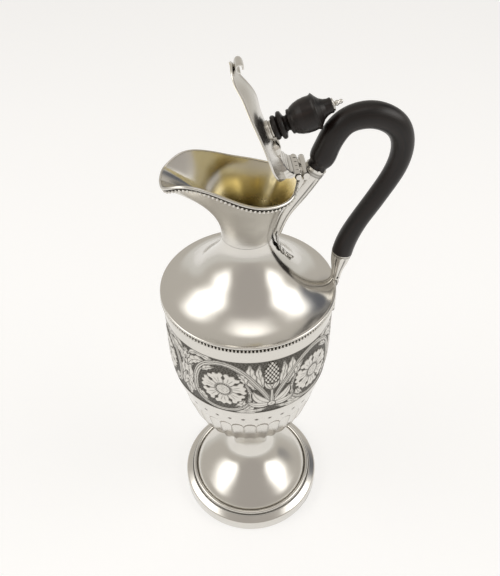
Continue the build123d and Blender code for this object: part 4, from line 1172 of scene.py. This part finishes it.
class JUG_OT_hinge(Operator):
    """Hinge: knuckles, pin, the reeded leaf on the lid and the rolled leaf on the neck."""

    bl_idname = "claret_jug.hinge"
    bl_label = "Hinge"

    def execute(self, context):
        cast = jug_material("cast_silver")
        level = MOUTH_LEVEL
        rises = spline_through(
            [(5.2, level + 0.4), (6.0, level + 1.7), (7.4, level + 2.4), (9.3, level + 1.7), (11.5, level + 0.5),
             (13.6, level - 0.2), (17.0, level + 0.3), (20.5, level + 1.6), (22.4, HINGE_Z + 1.5)],
            90,
        )
        reeds = 0.22 * np.abs(np.sin(rises[:, 0] * pi / REED)) * smoothstep(12.5, 14.5, rises[:, 0])
        rises[:, 1] += reeds
        half = np.interp(
            rises[:, 0], [5.2, 5.8, 7.5, 10, 12.3, 14, 17.5, 23], [1.2, 3.4, 5.4, 5.6, 4.4, 5.6, 8.3, 8.4]
        )
        s = np.linspace(-1, 1, 31)
        y = half[:, None] * s[None, :]
        x = np.broadcast_to(rises[:, None, 0], y.shape)
        top = rises[:, None, 1] - 0.5 * np.abs(s[None, :]) ** 6
        seat = np.minimum(lid_top(np.minimum(x, 21.2), y) - 0.15, top - 0.3)
        seat = np.where(x > 21.0, np.minimum(seat + (x - 21.0) * 1.6, top - 0.4), seat)
        reed = np.mod(rises[:, 0] / REED, 1)
        oxide_and_shade = 0.75 * np.exp(-(reed * (1 - reed)) / 0.03)
        oxide_and_shade = (oxide_and_shade * smoothstep(12.5, 14.5, rises[:, 0]))[:, None] * np.ones_like(y)
        front = np.stack([x, y, top], axis=2)
        back = np.stack([x, y, seat], axis=2)[:, ::-1]
        points = np.concatenate([front, back], axis=1)
        marks = np.concatenate([oxide_and_shade, np.zeros_like(oxide_and_shade)], axis=1)
        leaf = Shape().grid(points, False, True, tarnish_and_shade=marks, caps=True)
        self.knuckles(leaf, (0, 2, 4))
        leaf.piece("hinge_reeded_leaf", cast, LID, ["hinge_lid_leaf"], lid=True)
        roll_x = HINGE_X + 3.7
        fixed = Shape()
        fixed.grid(bar_along_y(arc((roll_x, HINGE_Z), 1.6, 0, 345, 24), HINGE_HALF), False, True, caps=True)
        seat_low, seat_top = HINGE_Z - 1.96, HINGE_Z - 1.0
        plate = [
            (roll_x - 1.6, seat_low), (roll_x + 1.3, seat_low), (roll_x + 1.4, seat_top), (roll_x - 1.5, seat_top),
        ]
        fixed.grid(bar_along_y(plate, HINGE_HALF - 0.1), False, True, caps=True)
        tongue = [
            (24.9, level + 0.9), (26.9, level + 0.9), (26.6, level - 2.5), (24.6, level - 6.5),
            (22.6, level - 9.6), (21.9, level - 9.4), (23.2, level - 5.5), (24.3, level - 2.5),
        ]
        fixed.grid(bar_along_y(tongue, 4.9), False, True, caps=True)
        self.knuckles(fixed, (1, 3))
        near, low, high = HINGE_X + 0.6, HINGE_Z - 0.8, HINGE_Z + 0.9
        web = bar_along_y([(near, low), (roll_x, low), (roll_x, high), (near, high)], 1.55)
        for k in (1, 3):
            fixed.grid(web + np.array([0, (k - 2) * KNUCKLE, 0]), False, True, caps=True)
        fixed.piece("hinge_rolled_leaf", cast, JUG, ["hinge_back_leaf"])
        shank = bar_along_y(arc((HINGE_X, HINGE_Z), 0.9, 0, 340, 18), HINGE_HALF + 0.3)
        pin = Shape().grid(shank, False, True, caps=True)
        for side in (-1, 1):
            head = bar_along_y(arc((HINGE_X, HINGE_Z), 1.35, 0, 345, 24), 0.34, 3, 0.15)
            pin.grid(head + np.array([0, side * (HINGE_HALF + 0.62), 0]), False, True, caps=True)
        pin.piece("hinge_pin_and_heads", cast, JUG, ["hinge_pin"])
        return {"FINISHED"}

    def knuckles(self, shape, which):
        """Short barrels round the pin, with a dark line at each end: painted shade in the gaps between the knuckles.
        """
        for k in which:
            barrel = bar_along_y(arc((HINGE_X, HINGE_Z), 1.78, 0, 348, 30), 1.58, 5, 0.2)
            marks = np.zeros(barrel.shape[:2])
            marks[[0, -1]] = 0.9
            shape.grid(barrel + np.array([0, (k - 2) * KNUCKLE, 0]), False, True, tarnish_and_shade=marks, caps=True)


# ------------------------------------------------------------------ finial
FINIAL_LEAN = radians(8.1)
RIM_PLACE = 0.722  # where the wood has its sharp rim, as a share of its length
WOOD_TURNING = [
    (0.62, 0.0), (0.68, 0.03), (0.64, 0.07), (0.52, 0.09), (0.73, 0.11), (0.775, 0.145), (0.72, 0.18),
    (0.45, 0.205), (0.40, 0.235), (0.46, 0.262), (0.64, 0.275), (0.68, 0.295), (0.66, 0.32), (0.74, 0.35),
    (0.85, 0.42), (0.92, 0.51), (0.94, 0.6), (0.92, 0.68), (0.96, 0.705), (1.0, RIM_PLACE), (0.94, 0.738),
    (0.8, 0.765), (0.58, 0.82), (0.46, 0.88), (0.405, 0.94), (0.42, 0.985), (0.36, 1.0),
]


def finial_turned(profile, segments=96):
    """A profile (radius, distance from the lid) turned round the finial's leaning axis."""
    ring = turned(profile, segments)
    x = ring[..., 0] * cos(FINIAL_LEAN) + ring[..., 2] * sin(FINIAL_LEAN)
    z = -ring[..., 0] * sin(FINIAL_LEAN) + ring[..., 2] * cos(FINIAL_LEAN)
    return np.stack([x, ring[..., 1], z + MOUTH_LEVEL + 0.9], axis=2)


class JUG_OT_finial(Operator):
    """Finial: silver collar, turned wood and the little silver cap of two balls."""

    bl_idname = "claret_jug.finial"
    bl_label = "Finial"

    def execute(self, context):
        foot, length, radius = 2.2, 27.4, 8.25
        places = np.array([h for _, h in WOOD_TURNING])
        radii = np.array([r for r, _ in WOOD_TURNING])
        h = np.unique(np.concatenate([np.linspace(0, 1, 150), places]))
        body = np.stack([np.interp(h, places, radii) * radius, foot + h * length], axis=1)
        for _ in range(2):
            kept = body[:, 0].copy()
            body[1:-1, 0] = 0.25 * body[:-2, 0] + 0.5 * body[1:-1, 0] + 0.25 * body[2:, 0]
            rim = np.abs(h - RIM_PLACE) < 0.012
            body[rim, 0] = kept[rim]
        profile = np.concatenate([[(0.001, foot)], body, [(0.001, foot + length)]])
        wood = Shape().grid(finial_turned(profile), True, False)
        wood.piece("finial_turning", jug_material("turned_wood"), LID, ["finial_wood"], "dark_wood", 30.0, True)
        collar = np.concatenate(
            [
                [(0.001, -0.4), (4.5, -0.5)], arc((4.1, 0.5), 0.5, -30, 90, 5),
                arc((3.5, 1.6), 0.55, -60, 90, 7), [(3.0, 2.18), (0.001, 2.18)],
            ]
        )
        Shape().grid(finial_turned(collar), True, False).piece(
            "finial_collar_ring", jug_material("cast_silver"), LID, ["finial_collar"], lid=True
        )
        top = foot + length
        cap = np.concatenate(
            [
                [(0.001, top), (2.8, top)], arc((2.6, top + 0.4), 0.28, -60, 90, 5),
                [(1.6, top + 0.95), (0.75, top + 1.15)],
                arc((0.0, top + 2.0), 1.22, -42, 42, 8), arc((0.0, top + 3.75), 1.0, -38, 89, 9),
            ]
        )
        Shape().grid(finial_turned(cap, 48), True, False).piece(
            "finial_cap_balls", jug_material("cast_silver"), LID, ["finial_cap"], lid=True
        )
        finish_solids("finial_rod", "finial_nut")
        return {"FINISHED"}


# ------------------------------------------------------------------ studio
CAMERA = Vector((-0.01982, -0.23887, 0.41282))
LOOKS_AT = Vector((0.00107, -0.00009, 0.18772))
CAMERA_ROLL = radians(-0.758)
FOCAL_LENGTH = 37.5
JUG_MIDDLE = Vector((0, 0, 0.17))


class JUG_OT_studio(Operator):
    """Studio: the camera, soft lamps, pale surroundings and a white floor."""

    bl_idname = "claret_jug.studio"
    bl_label = "Studio"

    def execute(self, context):
        scene = bpy.context.scene
        scene.view_settings.view_transform = "Standard"
        self.camera(scene)
        self.world(scene)
        self.floor(scene)
        for name, place, size, power, colour in (
            ("softbox_left", (-0.80, -0.05, 0.82), (1.5, 0.9), 12.0, (1.0, 0.99, 0.97)),
            ("softbox_right", (0.77, -0.20, 0.80), (1.25, 0.85), 10.5, (1.0, 0.99, 0.97)),
            ("softbox_top", (0.0, -0.26, 1.35), (1.2, 0.6), 3.0, (1.0, 0.98, 0.95)),
        ):
            self.lamp(scene, name, place, size, power, colour)
        return {"FINISHED"}

    def camera(self, scene):
        """The photograph's camera, turned by its roll about its own line of sight."""
        lens = bpy.data.cameras.new("camera")
        lens.lens = FOCAL_LENGTH
        lens.sensor_width = 36.0
        lens.clip_start = 0.01
        thing = bpy.data.objects.new("camera", lens)
        forward = (LOOKS_AT - CAMERA).normalized()
        right = forward.cross(Vector((0, 0, 1))).normalized()
        up = right.cross(forward)
        side = cos(CAMERA_ROLL) * right + sin(CAMERA_ROLL) * up
        top = -sin(CAMERA_ROLL) * right + cos(CAMERA_ROLL) * up
        turn = Matrix((side, top, -forward)).transposed()
        thing.matrix_world = Matrix.Translation(CAMERA) @ turn.to_4x4()
        scene.collection.objects.link(thing)
        scene.camera = thing

    def lamp(self, scene, name, place, size, power, colour):
        """A rectangular soft lamp that faces the middle of the jug and fades towards its edges."""
        light = bpy.data.lights.new(name, "AREA")
        light.shape = "RECTANGLE"
        light.size, light.size_y = size
        light.energy = power
        light.color = colour
        self.fade(light)
        thing = bpy.data.objects.new(name, light)
        towards = JUG_MIDDLE - Vector(place)
        turn = towards.to_track_quat("-Z", "Y").to_matrix().to_4x4()
        thing.matrix_world = Matrix.Translation(place) @ turn
        scene.collection.objects.link(thing)

    def fade(self, light):
        """Makes a lamp's light fall from its middle to nothing at its edges, each way by a smooth step."""
        light.use_nodes = True
        tree = light.node_tree
        glow = next(node for node in tree.nodes if node.type == "EMISSION")
        place = add_node(tree, "ShaderNodeNewGeometry").outputs["Parametric"]
        split = add_node(tree, "ShaderNodeSeparateXYZ", Vector=place)
        edges = []
        for axis in ("X", "Y"):
            away = computed(tree, "ABSOLUTE", computed(tree, "SUBTRACT", split.outputs[axis], 0.5))
            edge = add_node(tree, "ShaderNodeMapRange", interpolation_type="SMOOTHERSTEP", Value=away)
            put(tree, edge.inputs["From Min"], 0.5)
            put(tree, edge.inputs["From Max"], 0.0)
            edges.append(edge.outputs[0])
        put(tree, glow.inputs["Strength"], computed(tree, "MULTIPLY", *edges))

    def world(self, scene):
        """A pale room: bright at the floor's level and a soft warm grey above, darker on the
        camera's side, with a dark doorway behind the lamp at the right.

        The height share is a ramp of the direction's Z. The other two are ramps of the dot
        product of the direction with the line to the darker place.
        """
        world = bpy.data.worlds.new("room")
        scene.world = world
        world.use_nodes = True
        tree = world.node_tree
        tree.nodes.clear()
        output = tree.nodes.new("ShaderNodeOutputWorld")
        direction = add_node(tree, "ShaderNodeTexCoord").outputs["Generated"]
        split = add_node(tree, "ShaderNodeSeparateXYZ", Vector=direction)
        height = ramp(tree, split.outputs["Z"], [(0.0, 0.0), (0.02, 0.0), (0.16, 1.0)])
        walls = (0.60, 0.57, 0.525)
        for line, stops, colour in (
            ((0.0, -0.72, 0.69), [(0.62, 0.0), (0.93, 1.0)], (0.50, 0.47, 0.44)),
            ((0.70, 0.42, 0.58), [(0.93, 0.0), (0.985, 1.0)], (0.15, 0.157, 0.18)),
        ):
            near = add_node(tree, "ShaderNodeVectorMath", operation="DOT_PRODUCT")
            put(tree, near.inputs[0], direction)
            put(tree, near.inputs[1], line)
            walls = mixed(tree, ramp(tree, near.outputs["Value"], stops), walls, colour)
        background = tree.nodes.new("ShaderNodeBackground")
        tree.links.new(mixed(tree, height, (0.76, 0.745, 0.71), walls), background.inputs["Color"])
        tree.links.new(background.outputs[0], output.inputs[0])

    def floor(self, scene):
        """A round white board, which is lifted to white for what is seen in it and keeps shadows."""
        mesh = bpy.data.meshes.new("floor")
        work = bmesh.new()
        bmesh.ops.create_circle(work, cap_ends=True, segments=96, radius=1.6)
        work.to_mesh(mesh)
        work.free()
        thing = bpy.data.objects.new("floor", mesh)
        thing.location = (0, 0, -0.0002)
        scene.collection.objects.link(thing)
        material, tree, shader = new_material("pale_board")
        shader.inputs["Base Color"].default_value = (0.50, 0.495, 0.485, 1)
        shader.inputs["Roughness"].default_value = 0.7
        shader.inputs["Specular IOR Level"].default_value = 0.1
        output = next(node for node in tree.nodes if node.type == "OUTPUT_MATERIAL")
        path = tree.nodes.new("ShaderNodeLightPath")
        seen = path.outputs["Is Camera Ray"]
        for other in ("Is Glossy Ray", "Is Transmission Ray"):
            seen = computed(tree, "MAXIMUM", seen, path.outputs[other])
        glow = add_node(tree, "ShaderNodeEmission")
        tree.links.new(mixed(tree, seen, (0, 0, 0), (0.56, 0.56, 0.56)), glow.inputs["Color"])
        both = tree.nodes.new("ShaderNodeAddShader")
        tree.links.new(shader.outputs[0], both.inputs[0])
        tree.links.new(glow.outputs[0], both.inputs[1])
        tree.links.new(both.outputs[0], output.inputs["Surface"])
        mesh.materials.append(material)


# ------------------------------------------------------------------ panel and run
OPERATORS = (
    JUG_OT_studio, JUG_OT_foot, JUG_OT_bowl, JUG_OT_shoulder, JUG_OT_mouth, JUG_OT_handle, JUG_OT_lid,
    JUG_OT_hinge, JUG_OT_finial,
)


class JUG_PT_panel(Panel):
    """Sidebar panel with the jug's settings and one button for each group of pieces."""

    bl_idname = "JUG_PT_panel"
    bl_label = "Claret Jug"
    bl_space_type = "VIEW_3D"
    bl_region_type = "UI"
    bl_category = "Claret Jug"

    def draw(self, context):
        for group in (context.scene.claret_jug_sizes, context.scene.claret_jug_finish):
            box = self.layout.box()
            for name in group.__annotations__:
                box.prop(group, name)
        for operator in OPERATORS:
            self.layout.operator(operator.bl_idname)


CLASSES = (JugSizes, JugFinish, *OPERATORS, JUG_PT_panel)


def register():
    for cls in CLASSES:
        bpy.utils.register_class(cls)
    bpy.types.Scene.claret_jug_sizes = PointerProperty(type=JugSizes)
    bpy.types.Scene.claret_jug_finish = PointerProperty(type=JugFinish)


def unregister():
    del bpy.types.Scene.claret_jug_finish
    del bpy.types.Scene.claret_jug_sizes
    for cls in reversed(CLASSES):
        bpy.utils.unregister_class(cls)


def main():
    """Makes the whole jug."""
    register()
    for operator in OPERATORS:
        group, name = operator.bl_idname.split(".")
        getattr(getattr(bpy.ops, group), name)()


if __name__ == "__main__":
    main()
